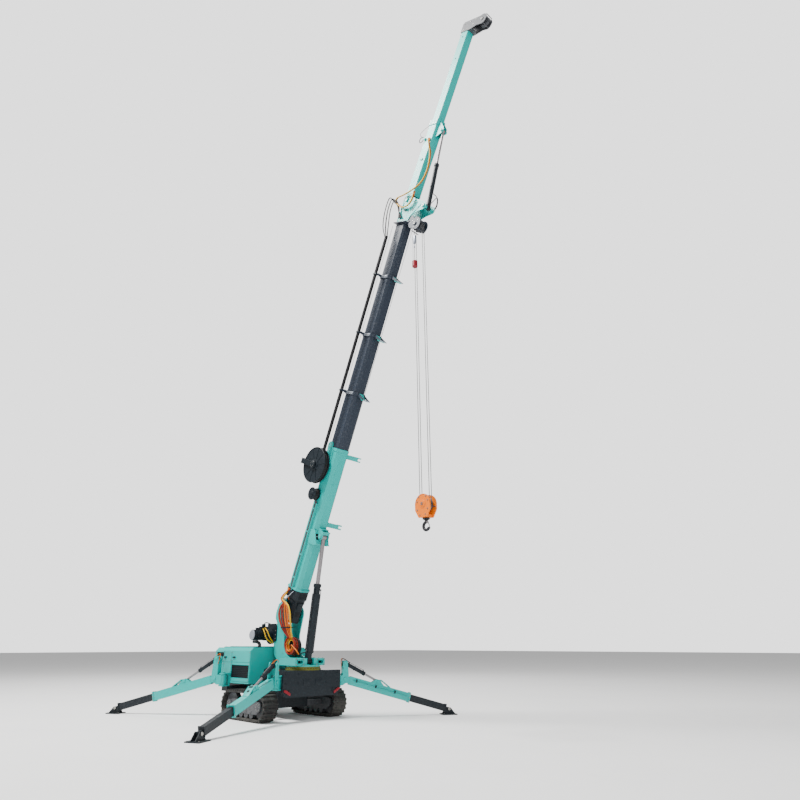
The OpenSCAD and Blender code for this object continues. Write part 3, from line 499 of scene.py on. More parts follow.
def weathering_group() -> bpy.types.NodeTree:
    """Builds the group that mottles a paint, dusts what faces up and darkens what lies low.

    Returns:
        The group, which puts out a colour, a roughness and a dust mask.
    """
    tree = bpy.data.node_groups.new("paint_weathering", "ShaderNodeTree")
    source, result = group_sockets(
        tree,
        (
            ("Colour", "NodeSocketColor", (0.5, 0.5, 0.5, 1)), ("Dust", "NodeSocketColor", (0.5, 0.47, 0.4, 1)),
            ("Dust Amount", "NodeSocketFloat", 0.2), ("Mottle", "NodeSocketFloat", 0.1),
            ("Roughness", "NodeSocketFloat", 0.4),
        ),
        (("Colour", "NodeSocketColor"), ("Roughness", "NodeSocketFloat"), ("Mask", "NodeSocketFloat")),
    )
    nodes = NodeTree(tree)
    large = nodes.noise(1.7, 5.0, 0.55)
    fine = nodes.noise(23.0, 6.0, 0.7)
    streaks = nodes.noise(9.0, 4.0, 0.6, (1.0, 1.0, 0.12))
    shade = nodes.math("SUBTRACT", nodes.math("MULTIPLY", large, 0.7), 0.35)
    shade = nodes.math("ADD", shade, nodes.math("MULTIPLY", nodes.math("SUBTRACT", streaks, 0.5), 0.45))
    factor = nodes.math("ADD", 1.0, nodes.math("MULTIPLY", shade, source.outputs["Mottle"]))
    tint = nodes.add("ShaderNodeHueSaturation")
    nodes.join(source.outputs["Colour"], tint.inputs["Color"])
    nodes.join(factor, tint.inputs["Value"])
    geometry = nodes.add("ShaderNodeNewGeometry")
    split = nodes.add("ShaderNodeSeparateXYZ")
    nodes.join(geometry.outputs["Normal"], split.inputs["Vector"])
    upward = nodes.ramp(split.outputs["Z"], 0.25, 1.0)
    place = nodes.add("ShaderNodeTexCoord")
    height = nodes.add("ShaderNodeSeparateXYZ")
    nodes.join(place.outputs["Object"], height.inputs["Vector"])
    low = nodes.math("SUBTRACT", 1.0, nodes.ramp(height.outputs["Z"], 0.02, 0.75))
    settle = nodes.math("ADD", nodes.math("MULTIPLY", upward, 0.6), nodes.math("MULTIPLY", low, 0.75))
    patch = nodes.ramp(nodes.math("ADD", nodes.math("MULTIPLY", fine, 0.6), nodes.math("MULTIPLY", large, 0.5)), 0.42, 0.72)
    mask = nodes.math("MULTIPLY", nodes.math("MULTIPLY", settle, patch), source.outputs["Dust Amount"], clamp=True)
    nodes.join(nodes.mix(mask, tint.outputs["Color"], source.outputs["Dust"]), result.inputs["Colour"])
    rough = nodes.math("ADD", source.outputs["Roughness"], nodes.math("MULTIPLY", mask, 0.45))
    rough = nodes.math("ADD", rough, nodes.math("MULTIPLY", nodes.math("SUBTRACT", fine, 0.5), 0.06), clamp=True)
    nodes.join(rough, result.inputs["Roughness"])
    nodes.join(mask, result.inputs["Mask"])
    return tree


def wear_group() -> bpy.types.NodeTree:
    """Builds the group that rubs paint off convex edges.

    Returns:
        The group, which puts out a colour and a wear mask.
    """
    tree = bpy.data.node_groups.new("edge_wear", "ShaderNodeTree")
    source, result = group_sockets(
        tree,
        (
            ("Colour", "NodeSocketColor", (0.5, 0.5, 0.5, 1)), ("Bare", "NodeSocketColor", (0.3, 0.3, 0.3, 1)),
            ("Amount", "NodeSocketFloat", 0.3), ("Scale", "NodeSocketFloat", 30.0),
        ),
        (("Colour", "NodeSocketColor"), ("Mask", "NodeSocketFloat")),
    )
    nodes = NodeTree(tree)
    geometry = nodes.add("ShaderNodeNewGeometry")
    edge = nodes.ramp(geometry.outputs["Pointiness"], 0.505, 0.56)
    place = nodes.add("ShaderNodeTexCoord")
    chips = nodes.add("ShaderNodeTexNoise")
    nodes.join(place.outputs["Object"], chips.inputs["Vector"])
    nodes.join(source.outputs["Scale"], chips.inputs["Scale"])
    chips.inputs["Detail"].default_value = 6.0
    broken = nodes.ramp(chips.outputs["Fac"], 0.5, 0.62)
    mask = nodes.math("MULTIPLY", nodes.math("MULTIPLY", edge, broken), source.outputs["Amount"], clamp=True)
    nodes.join(nodes.mix(mask, source.outputs["Colour"], source.outputs["Bare"]), result.inputs["Colour"])
    nodes.join(mask, result.inputs["Mask"])
    return tree


def grain_group() -> bpy.types.NodeTree:
    """Builds the group that gives a surface its fine height, from orange peel to moulded rubber.

    Returns:
        The group, which puts out a height.
    """
    tree = bpy.data.node_groups.new("surface_grain", "ShaderNodeTree")
    source, result = group_sockets(
        tree,
        (("Scale", "NodeSocketFloat", 200.0), ("Waves", "NodeSocketFloat", 0.3)),
        (("Height", "NodeSocketFloat"),),
    )
    nodes = NodeTree(tree)
    place = nodes.add("ShaderNodeTexCoord")
    peel = nodes.add("ShaderNodeTexNoise")
    nodes.join(place.outputs["Object"], peel.inputs["Vector"])
    nodes.join(source.outputs["Scale"], peel.inputs["Scale"])
    peel.inputs["Detail"].default_value = 3.0
    waves = nodes.noise(6.0, 2.0, 0.5)
    height = nodes.math("ADD", peel.outputs["Fac"], nodes.math("MULTIPLY", waves, source.outputs["Waves"]))
    nodes.join(height, result.inputs["Height"])
    return tree


@dataclass(frozen=True)
class Finish:
    """One finish of the crane.

    Args:
        name: The material's name.
        colour: Base colour, linear.
        roughness: Roughness of the clean surface.
        metallic: 1 for bare metal.
        coat: Clear coat weight.
        bare: Colour under the paint.
        wear: How much paint the edges have lost.
        dust: How much dust has settled.
        mottle: How much the colour varies.
        grain: Scale of the fine bumps, per metre.
        bump: Height of the fine bumps, in metres.
        gloss: Specular level of the paint.
    """

    name: str
    colour: Colour
    roughness: float = 0.4
    metallic: float = 0.0
    coat: float = 0.0
    bare: Colour = (0.22, 0.22, 0.23)
    wear: float = 0.12
    dust: float = 0.04
    mottle: float = 0.14
    grain: float = 260.0
    bump: float = 0.0003
    gloss: float = 0.28

    def build(self, groups: dict[str, bpy.types.NodeTree]) -> bpy.types.Material:
        """Makes the material.

        Args:
            groups: The shared node groups by name.

        Returns:
            The material.
        """
        material = bpy.data.materials.new(self.name)
        material.use_nodes = True
        nodes = NodeTree(material.node_tree)
        shader = material.node_tree.nodes["Principled BSDF"]
        wear = nodes.add("ShaderNodeGroup")
        wear.node_tree = groups["wear"]
        wear.inputs["Colour"].default_value = (*self.colour, 1)
        wear.inputs["Bare"].default_value = (*self.bare, 1)
        wear.inputs["Amount"].default_value = self.wear
        weather = nodes.add("ShaderNodeGroup")
        weather.node_tree = groups["weathering"]
        weather.inputs["Dust Amount"].default_value = self.dust
        weather.inputs["Mottle"].default_value = self.mottle
        weather.inputs["Roughness"].default_value = self.roughness
        nodes.join(wear.outputs["Colour"], weather.inputs["Colour"])
        nodes.join(weather.outputs["Colour"], shader.inputs["Base Color"])
        nodes.join(weather.outputs["Roughness"], shader.inputs["Roughness"])
        clean = nodes.math("SUBTRACT", 1.0, weather.outputs["Mask"], clamp=True)
        if self.metallic > 0:
            nodes.join(nodes.math("MULTIPLY", clean, self.metallic), shader.inputs["Metallic"])
        if self.coat > 0:
            nodes.join(nodes.math("MULTIPLY", clean, self.coat), shader.inputs["Coat Weight"])
            shader.inputs["Coat Roughness"].default_value = 0.12
        grain = nodes.add("ShaderNodeGroup")
        grain.node_tree = groups["grain"]
        grain.inputs["Scale"].default_value = self.grain
        bump = nodes.add("ShaderNodeBump")
        bump.inputs["Distance"].default_value = self.bump
        bump.inputs["Strength"].default_value = 0.8
        nodes.join(grain.outputs["Height"], bump.inputs["Height"])
        nodes.join(bump.outputs["Normal"], shader.inputs["Normal"])
        shader.inputs["Specular IOR Level"].default_value = self.gloss
        return material


class Paint(Enum):
    """Every finish on the crane."""

    TEAL = Finish("teal_paint", (0.001, 0.42, 0.385), 0.40, coat=0.06, bare=(0.16, 0.20, 0.20))
    # Darker copy of the teal: painted shade in the knuckle's holes
    SHADED_TEAL = Finish("painted_shade_teal", (0.004, 0.20, 0.175), 0.42)
    SLATE = Finish("slate_paint", (0.022, 0.031, 0.048), 0.45, mottle=0.08)
    PALE_STEEL = Finish("pale_steel", (0.30, 0.33, 0.38), 0.42, metallic=0.3, dust=0.05)
    STEEL_PIPE = Finish("steel_pipe", (0.085, 0.075, 0.085), 0.42, metallic=0.4, wear=0.0)
    BLACK = Finish("black_paint", (0.004, 0.009, 0.014), 0.5, bare=(0.05, 0.06, 0.07))
    GREY = Finish("grey_paint", (0.062, 0.066, 0.075), 0.48, bare=(0.2, 0.2, 0.2), wear=0.2, dust=0.08)
    ORANGE = Finish("orange_paint", (0.86, 0.185, 0.0), 0.36, coat=0.1, bare=(0.25, 0.18, 0.12), wear=0.2)
    OLIVE = Finish("ring_paint", (0.10, 0.10, 0.006), 0.5, bare=(0.07, 0.07, 0.03), wear=0.3)
    RED = Finish("red_paint", (0.24, 0.004, 0.014), 0.4)
    FORGED = Finish("forged_steel", (0.030, 0.031, 0.035), 0.5, metallic=0.5, bare=(0.3, 0.3, 0.3), wear=0.3, bump=0.0006)
    CHROME = Finish("bright_rod", (0.27, 0.25, 0.26), 0.38, metallic=0.5, wear=0.0, dust=0.02, mottle=0.05, bump=0.00002)
    ZINC = Finish("zinc_bolt", (0.30, 0.30, 0.28), 0.36, metallic=0.8, dust=0.08, bump=0.00008)
    ROPE = Finish("wire_rope", (0.20, 0.20, 0.20), 0.45, metallic=0.7, wear=0.0, dust=0.03, grain=700.0, bump=0.0005)
    TRACK = Finish("track_rubber", (0.014, 0.014, 0.015), 0.75, bare=(0.05, 0.05, 0.048), wear=0.3, dust=0.16, mottle=0.3,
                   grain=120.0, bump=0.0012)
    HOSE_BLACK = Finish("hose_black", (0.012, 0.012, 0.014), 0.5, wear=0.0, grain=420.0, bump=0.0002)
    HOSE_ORANGE = Finish("hose_orange", (0.56, 0.125, 0.002), 0.42, wear=0.0, grain=420.0, bump=0.0002)
    HOSE_YELLOW = Finish("hose_yellow", (0.66, 0.38, 0.004), 0.42, wear=0.0, grain=420.0, bump=0.0002)
    HOSE_RED = Finish("hose_red", (0.26, 0.016, 0.006), 0.42, wear=0.0, grain=420.0, bump=0.0002)
    # Near-black for door gaps, and painted shade in holes, windows, pockets and openings and behind the louvres
    PAINTED_SHADE_AND_GAPS = Finish("painted_shade_and_gaps", (0.006, 0.008, 0.010), 0.7, wear=0.0)


class Finishes:
    """Builds each finish once, on first use."""

    def __init__(self) -> None:
        """Builds the shared node groups."""
        self.groups = {"weathering": weathering_group(), "wear": wear_group(), "grain": grain_group()}
        self.made: dict[Paint, bpy.types.Material] = {}

    def get(self, paint: Paint) -> bpy.types.Material:
        """The material of a finish."""
        if paint not in self.made:
            self.made[paint] = paint.value.build(self.groups)
        return self.made[paint]


# Geometry Nodes: what repeats


class BoltPattern:
    """A node tree that puts hexagon bolts with washers on points, turned to a direction."""

    def __init__(self) -> None:
        """Builds the tree with named inputs for its sizes."""
        tree = bpy.data.node_groups.new("bolt_pattern", "GeometryNodeTree")
        tree.interface.new_socket(name="Geometry", in_out="INPUT", socket_type="NodeSocketGeometry")
        for name, default in (("Head Radius", 0.014), ("Head Height", 0.010), ("Washer Radius", 0.02)):
            socket = tree.interface.new_socket(name=name, in_out="INPUT", socket_type="NodeSocketFloat")
            socket.default_value = default
        tree.interface.new_socket(name="Finish", in_out="INPUT", socket_type="NodeSocketMaterial")
        tree.interface.new_socket(name="Geometry", in_out="OUTPUT", socket_type="NodeSocketGeometry")
        nodes = NodeTree(tree)
        source = nodes.add("NodeGroupInput")
        result = nodes.add("NodeGroupOutput")
        head = nodes.add("GeometryNodeMeshCylinder", Vertices=6)
        nodes.join(source.outputs["Head Radius"], head.inputs["Radius"])
        nodes.join(source.outputs["Head Height"], head.inputs["Depth"])
        washer = nodes.add("GeometryNodeMeshCylinder", Vertices=14)
        nodes.join(source.outputs["Washer Radius"], washer.inputs["Radius"])
        thin = nodes.math("MULTIPLY", source.outputs["Head Height"], 0.3)
        nodes.join(thin, washer.inputs["Depth"])
        lift = nodes.add("GeometryNodeTransform")
        offset = nodes.add("ShaderNodeCombineXYZ")
        nodes.join(nodes.math("MULTIPLY", source.outputs["Head Height"], 0.62), offset.inputs["Z"])
        nodes.join(head.outputs["Mesh"], lift.inputs["Geometry"])
        nodes.join(offset.outputs["Vector"], lift.inputs["Translation"])
        both = nodes.add("GeometryNodeJoinGeometry")
        nodes.join(lift.outputs["Geometry"], both.inputs["Geometry"])
        nodes.join(washer.outputs["Mesh"], both.inputs["Geometry"])
        facing = nodes.add("GeometryNodeInputNamedAttribute", data_type="FLOAT_VECTOR", Name="facing")
        align = nodes.add("FunctionNodeAlignRotationToVector", axis="Z")
        nodes.join(facing.outputs["Attribute"], align.inputs["Vector"])
        place = nodes.add("GeometryNodeInstanceOnPoints")
        nodes.join(source.outputs["Geometry"], place.inputs["Points"])
        nodes.join(both.outputs["Geometry"], place.inputs["Instance"])
        nodes.join(align.outputs["Rotation"], place.inputs["Rotation"])
        real = nodes.add("GeometryNodeRealizeInstances")
        nodes.join(place.outputs["Instances"], real.inputs["Geometry"])
        finish = nodes.add("GeometryNodeSetMaterial")
        nodes.join(real.outputs["Geometry"], finish.inputs["Geometry"])
        nodes.join(source.outputs["Finish"], finish.inputs["Material"])
        nodes.join(finish.outputs["Geometry"], result.inputs["Geometry"])
        self.tree = tree

    def make(
        self, name: str, places: Sequence[tuple[Vector, Vector]], radius: float, finish: bpy.types.Material
    ) -> bpy.types.Object:
        """Makes one piece of all the bolts.

        Args:
            name: The piece's name.
            places: Foot and direction of each bolt.
            radius: Radius of the hexagon head.
            finish: Its material.

        Returns:
            The piece as a plain mesh.
        """
        mesh = bpy.data.meshes.new(name + "_points")
        mesh.from_pydata([tuple(p) for p, _ in places], [], [])
        facing = mesh.attributes.new("facing", "FLOAT_VECTOR", "POINT")
        for item, (_, direction) in zip(facing.data, places):
            item.vector = direction.normalized()
        piece = bpy.data.objects.new(name, mesh)
        bpy.context.collection.objects.link(piece)
        modifier = piece.modifiers.new("bolts", "NODES")
        modifier.node_group = self.tree
        sockets = {item.name: item.identifier for item in self.tree.interface.items_tree if item.in_out == "INPUT"}
        modifier[sockets["Head Radius"]] = radius
        modifier[sockets["Head Height"]] = radius * 0.75
        modifier[sockets["Washer Radius"]] = radius * 1.4
        modifier[sockets["Finish"]] = finish
        return plain(piece)


def plain(piece: bpy.types.Object) -> bpy.types.Object:
    """Turns a piece's evaluated result into its plain mesh and removes the modifiers.

    Args:
        piece: The piece.

    Returns:
        The same piece.
    """
    bpy.context.view_layer.update()
    graph = bpy.context.evaluated_depsgraph_get()
    mesh = bpy.data.meshes.new_from_object(piece.evaluated_get(graph))
    piece.modifiers.clear()
    piece.data = mesh
    return piece


@dataclass
class Workshop:
    """What every sub-assembly uses to make and mount its pieces.

    Args:
        crane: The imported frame.
        finishes: The materials.
        bolts: The bolt pattern.
    """

    crane: Crane
    finishes: Finishes
    bolts: BoltPattern

    def mount(self, piece: bpy.types.Object, body: str, paint: Paint) -> bpy.types.Object:
        """Rides a finished piece on a body and logs it.

        Args:
            piece: The piece.
            body: The body's name.
            paint: Its finish; not used.

        Returns:
            The piece.
        """
        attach(piece, body)
        LOG.info("%s rides on %s, %d faces", piece.name, body, len(piece.data.polygons))
        return piece

    @contextmanager
    def part(self, name: str, body: str, paint: Paint, bevel: float = 0.0, smooth: float = 35.0) -> Iterator[Shape]:
        """Gives an empty shape to fill in a with block, and makes a piece of it that rides on a body.

        Args:
            name: The piece's name.
            body: The body that it rides on.
            paint: Its finish.
            bevel: Width of the rounding on sharp edges.
            smooth: Edges flatter than this many degrees are shaded smooth.

        Yields:
            The shape.
        """
        shape = Shape()
        yield shape
        self.mount(shape.piece(name, self.finishes.get(paint), bevel, smooth), body, paint)

    def hoses(self, name: str, body: str, paint: Paint, routes: Sequence[Sequence[Vector]], radius: float,
              steps: int = 8, sides: int = 10) -> None:
        """Makes fixed hoses or pipes along routes.

        Args:
            name: The piece's name.
            body: The body that it rides on.
            paint: Its finish.
            routes: The points of each hose.
            radius: Radius of each hose.
            steps: Rings between two points.
            sides: Faces round a hose.
        """
        with self.part(name, body, paint, smooth=60.0) as part:
            for route in routes:
                part.tube(smooth_path(route, steps), radius, sides)

    def spanning(self, name: str, bodies: tuple[str, str], paint: Paint, routes: Sequence[Sequence[Vector]],
                 radius: float, start: Vector, end: Vector, steps: int = 8, sides: int = 8) -> bpy.types.Object:
        """Makes hoses that run from one body to the next, as one piece that rides on neither.

        Args:
            name: The piece's name.
            bodies: The two bodies, joined by one joint.
            paint: Its finish.
            routes: The points of each hose.
            radius: Radius of each hose.
            start: Where it leaves the first body; not used.
            end: Where it reaches the second; not used.
            steps: Rings between two points.
            sides: Faces round a hose.

        Returns:
            The piece.
        """
        shape = Shape()
        for route in routes:
            shape.tube(smooth_path(route, steps), radius, sides)
        piece = shape.piece(name, self.finishes.get(paint), smooth=60.0)
        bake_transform(piece)
        LOG.info("%s spans %s and %s", name, *bodies)
        return piece

    def bolt(self, name: str, body: str, places: Sequence[tuple[Vector, Vector]], radius: float = 0.012,
             paint: Paint = Paint.ZINC) -> bpy.types.Object:
        """Makes a set of bolts.

        Args:
            name: The piece's name.
            body: The body that they ride on.
            places: Foot and direction of each bolt.
            radius: Radius of the hexagon head.
            paint: Their finish.

        Returns:
            The piece.
        """
        piece = self.bolts.make(name, places, radius, self.finishes.get(paint))
        return self.mount(piece, body, paint)


# CAD nodes and their finishes


@dataclass
class Dressing:
    """Gives the CAD nodes their finishes.

    Args:
        shop: Where the materials are.
    """

    shop: Workshop

    SLOT_PAINT = {
        "teal_paint": Paint.TEAL, "black_paint": Paint.BLACK, "slate_paint": Paint.SLATE, "grey_paint": Paint.GREY,
        "orange_paint": Paint.ORANGE, "ring_paint": Paint.OLIVE, "forged_steel": Paint.FORGED,
        "bright_rod": Paint.CHROME, "wire_rope": Paint.ROPE, "track_rubber": Paint.TRACK,
    }

    def paint_nodes(self) -> None:
        """Assigns a finish to each CAD node."""
        slots = {p["node"]: p["material_slot"] for p in self.shop.crane.frame["record"]["subparts"]}
        for name, piece in self.shop.crane.frame["nodes"].items():
            paint = self.SLOT_PAINT[slots[name]]
            piece.data.materials.clear()
            piece.data.materials.append(self.shop.finishes.get(paint))
            LOG.info("%s is finished in %s", name, paint.value.name)


# Places that sub-assemblies share


@dataclass(frozen=True)
class Section:
    """One section of the telescopic boom.

    Args:
        body: The body that it is.
        end: Station of its end.
        width: Its width.
        depth: Its depth.
    """

    body: str
    end: float
    width: float
    depth: float


BASE = Section("boom_1", 3.290, 0.286, 0.344)
SECTIONS = (
    BASE,
    Section("boom_2", 4.440, 0.268, 0.324),
    Section("boom_3", 5.640, 0.250, 0.304),
    Section("boom_4", 6.860, 0.232, 0.284),
    Section("boom_5", 7.960, 0.214, 0.264),
)


def ring_places(centre: Vector, axis: Vector, radius: float, count: int, first: float = 0.0) -> list[tuple[Vector, Vector]]:
    """Spaces bolts round a circle.

    Args:
        centre: Middle of the circle, on the face.
        axis: Direction out of the face.
        radius: Radius of the circle.
        count: Number of bolts.
        first: Angle of the first one in degrees.

    Returns:
        Foot and direction of each bolt.
    """
    side = axis.orthogonal().normalized()
    other = axis.cross(side).normalized()
    places = []
    for k in range(count):
        angle = math.radians(first) + 2 * math.pi * k / count
        places.append((centre + (side * math.cos(angle) + other * math.sin(angle)) * radius, axis))
    return places


class Assembly(ABC):
    """A part of the crane that is dressed on its own.

    Args:
        shop: Where its pieces are made.
    """

    def __init__(self, shop: Workshop) -> None:
        """Keeps the workshop."""
        self.shop = shop

    @abstractmethod
    def build(self) -> None:
        """Makes all pieces of the assembly."""

    @property
    def boom(self) -> Beam:
        """Member coordinates of the telescopic boom."""
        crane = self.shop.crane
        return Beam(crane.pivot("boom_luff"), crane.heading("boom_extend"))

    @property
    def jib(self) -> Beam:
        """Member coordinates of the jib."""
        crane = self.shop.crane
        return Beam(crane.pivot("jib_luff"), crane.heading("jib_extend"))


# Crawler


class Crawler(Assembly):
    """Front beam, deck, slewing ring and tracks."""

    TRACK_X = 0.75
    AXLE_Z = 0.24
    WHEEL_Y = (0.05, 1.01)

    def build(self) -> None:
        """Makes all pieces of the crawler."""
        self.front_beam()
        self.ring_bolts()
        self.running_gear()
        self.deck()

    def front_beam(self) -> None:
        """Rim, plugs, bolts and the red lashing brackets of the front beam."""
        face = -0.305

        with self.shop.part("front_beam_rims", "root", Paint.BLACK, bevel=0.002) as part:
            for side in (-1, 1):
                part.turned(((0.02, 0.002), (0.036, 0.002), (0.036, -0.008), (0.033, -0.011), (0.024, -0.011), (0.02, -0.008)),
                           Vector((side * 0.47, face, 0.47)), Y, 28)
            part.box((-0.20, face - 0.006, 0.56), (-0.06, face + 0.002, 0.66))
            part.box((0.06, face - 0.006, 0.56), (0.20, face + 0.002, 0.66))

        with self.shop.part("lashing_brackets", "root", Paint.RED, bevel=0.004) as part:
            for side in (-1, 1):
                outline = [Vector((side * x, face - 0.002, z))
                           for x, z in ((0.475, 0.412), (0.605, 0.480), (0.605, 0.506), (0.560, 0.506), (0.470, 0.450))]
                part.prism(outline, Vector((0, -0.022, 0)))
        places = [(Vector((x, face, z)), -Y) for x in (-0.56, -0.30, 0.30, 0.56) for z in (0.75, 0.60)]
        self.shop.bolt("front_beam_bolts", "root", places, 0.011, Paint.BLACK)

    def ring_bolts(self) -> None:
        """Bolts on the ledge of the slewing ring."""
        self.shop.bolt("ring_bolts", "root", ring_places(Vector((0, 0, 0.826)), Z, 0.3165, 36), 0.0045)

    def running_gear(self) -> None:
        """Hub caps and bolts on the outer side of both tracks."""
        bolts = []

        with self.shop.part("hub_caps", "root", Paint.GREY) as part:
            for side in (-1, 1):
                out = X * side
                for y in self.WHEEL_Y:
                    centre = Vector((side * (self.TRACK_X + 0.1), y, self.AXLE_Z))
                    part.turned(((0.078, -0.002), (0.078, 0.012), (0.070, 0.018), (0.030, 0.020), (0.024, 0.028), (0.001, 0.028)),
                               centre, out, 32)
                    bolts.extend(ring_places(centre + out * 0.017, out, 0.055, 8))
                for k in range(4):
                    y = self.WHEEL_Y[0] + 0.235 + 0.49 * k / 3
                    part.turned(((0.026, 0.0), (0.026, 0.006), (0.020, 0.010), (0.001, 0.010)),
                               Vector((side * (self.TRACK_X + 0.1), y, 0.155)), out, 20)
        self.shop.bolt("hub_bolts", "root", bolts, 0.008)

    def deck(self) -> None:
        """Hydraulic lines over the deck and beside the ring."""
        routes = []
        for k in range(4):
            x = -0.21 - 0.026 * k
            routes.append([Vector((x, 0.46, 0.812)), Vector((x, 0.60, 0.822)), Vector((x, 0.76, 0.812))])
        self.shop.hoses("deck_hoses", "root", Paint.HOSE_BLACK, routes, 0.009)


class Housing(Assembly):
    """Trim of the engine housing."""

    HALF = 0.632
    FRONT = 0.79
    REAR = 2.10
    TOP = 1.175

    def build(self) -> None:
        """Makes all pieces of the housing."""
        self.seams()
        self.lid()
        self.furniture()
        self.shade_behind_louvres()

    def seams(self) -> None:
        """Door gaps, as dark lines set on the sheet."""
        with self.shop.part("housing_door_gaps", "root", Paint.PAINTED_SHADE_AND_GAPS) as part:
            for side in (-1, 1):
                low, high = sorted((side * self.HALF, side * (self.HALF + 0.0015)))
                for y in (0.80, 1.46, 1.755):
                    part.box((low, y, 0.585), (high, y + 0.004, 1.112))
                for z in (0.585, 0.915):
                    part.box((low, 0.80, z), (high, 2.085, z + 0.004))
            for x in (-0.40, 0.396):
                part.box((x, self.REAR, 0.62), (x + 0.004, self.REAR + 0.0015, 1.11))
            for z in (0.62, 1.11):
                part.box((-0.40, self.REAR, z), (0.40, self.REAR + 0.0015, z + 0.004))

    def lid(self) -> None:
        """Raised lid, its strap hinges and the strips across it."""
        with self.shop.part("housing_lid", "root", Paint.TEAL, bevel=0.006) as part:
            part.box((-0.50, 0.93, self.TOP - 0.002), (0.50, 2.02, self.TOP + 0.016))
            for x in (-0.33, 0.23):
                part.box((x, 1.99, self.TOP), (x + 0.10, 2.06, self.TOP + 0.024))
            for y in (1.10, 1.35, 1.60, 1.85):
                part.box((-0.44, y, self.TOP + 0.014), (0.44, y + 0.05, self.TOP + 0.022))
        places = [(Vector((x, y, self.TOP + 0.016)), Z) for x in (-0.47, 0.47) for y in (0.97, 1.24, 1.48, 1.73, 1.98)]
        places += [(Vector((side * self.HALF, y, z)), X * side)
                   for side in (-1, 1) for y in (0.83, 1.43, 1.49, 1.72, 1.785, 2.06) for z in (0.62, 0.885, 0.945, 1.09)]
        places += [(Vector((x, self.REAR, z)), Y) for x in (-0.37, 0.37) for z in (0.66, 0.88, 1.08)]
        self.shop.bolt("housing_bolts", "root", places, 0.007)

    def furniture(self) -> None:
        """Door handles, exhaust, filler cap and lamps."""
        with self.shop.part("housing_fittings", "root", Paint.BLACK, bevel=0.003) as part:
            for side in (-1, 1):
                low, high = sorted((side * (self.HALF - 0.001), side * (self.HALF + 0.014)))
                part.box((low, 1.32, 0.985), (high, 1.41, 1.015))
                part.box((low, 1.66, 0.985), (high, 1.73, 1.015))
            part.turned(((0.034, -0.002), (0.034, 0.045), (0.028, 0.052), (0.001, 0.052)), Vector((0.40, 0.86, self.TOP)),
                       Z, 24)
            for x in (-0.52, 0.44):
                part.box((x, self.REAR - 0.001, 0.70), (x + 0.08, self.REAR + 0.026, 0.80))

        with self.shop.part("rear_lamps", "root", Paint.RED) as part:
            for x in (-0.48, 0.48):
                part.turned(((0.028, 0.024), (0.028, 0.034), (0.018, 0.040), (0.001, 0.041)), Vector((x, self.REAR, 0.75)),
                           Y, 24)

        with self.shop.part("exhaust_pipe", "root", Paint.FORGED, smooth=60) as part:
            part.tube(smooth_path([Vector((-0.40, 0.88, self.TOP - 0.01)), Vector((-0.40, 0.88, self.TOP + 0.06)),
                                      Vector((-0.43, 0.93, self.TOP + 0.10)), Vector((-0.47, 1.0, self.TOP + 0.105))], 8), 0.03, 20)

    def shade_behind_louvres(self) -> None:
        """Painted shade behind the louvres, as a dark sheet."""
        with self.shop.part("louvre_shade", "root", Paint.PAINTED_SHADE_AND_GAPS) as part:
            for side in (-1, 1):
                low, high = sorted((side * (self.HALF - 0.016), side * (self.HALF - 0.014)))
                part.box((low, 0.81, 0.64), (high, 1.45, 0.88))
                part.box((low, 1.76, 1.0), (high, 2.05, 1.10))


# Outrigger legs


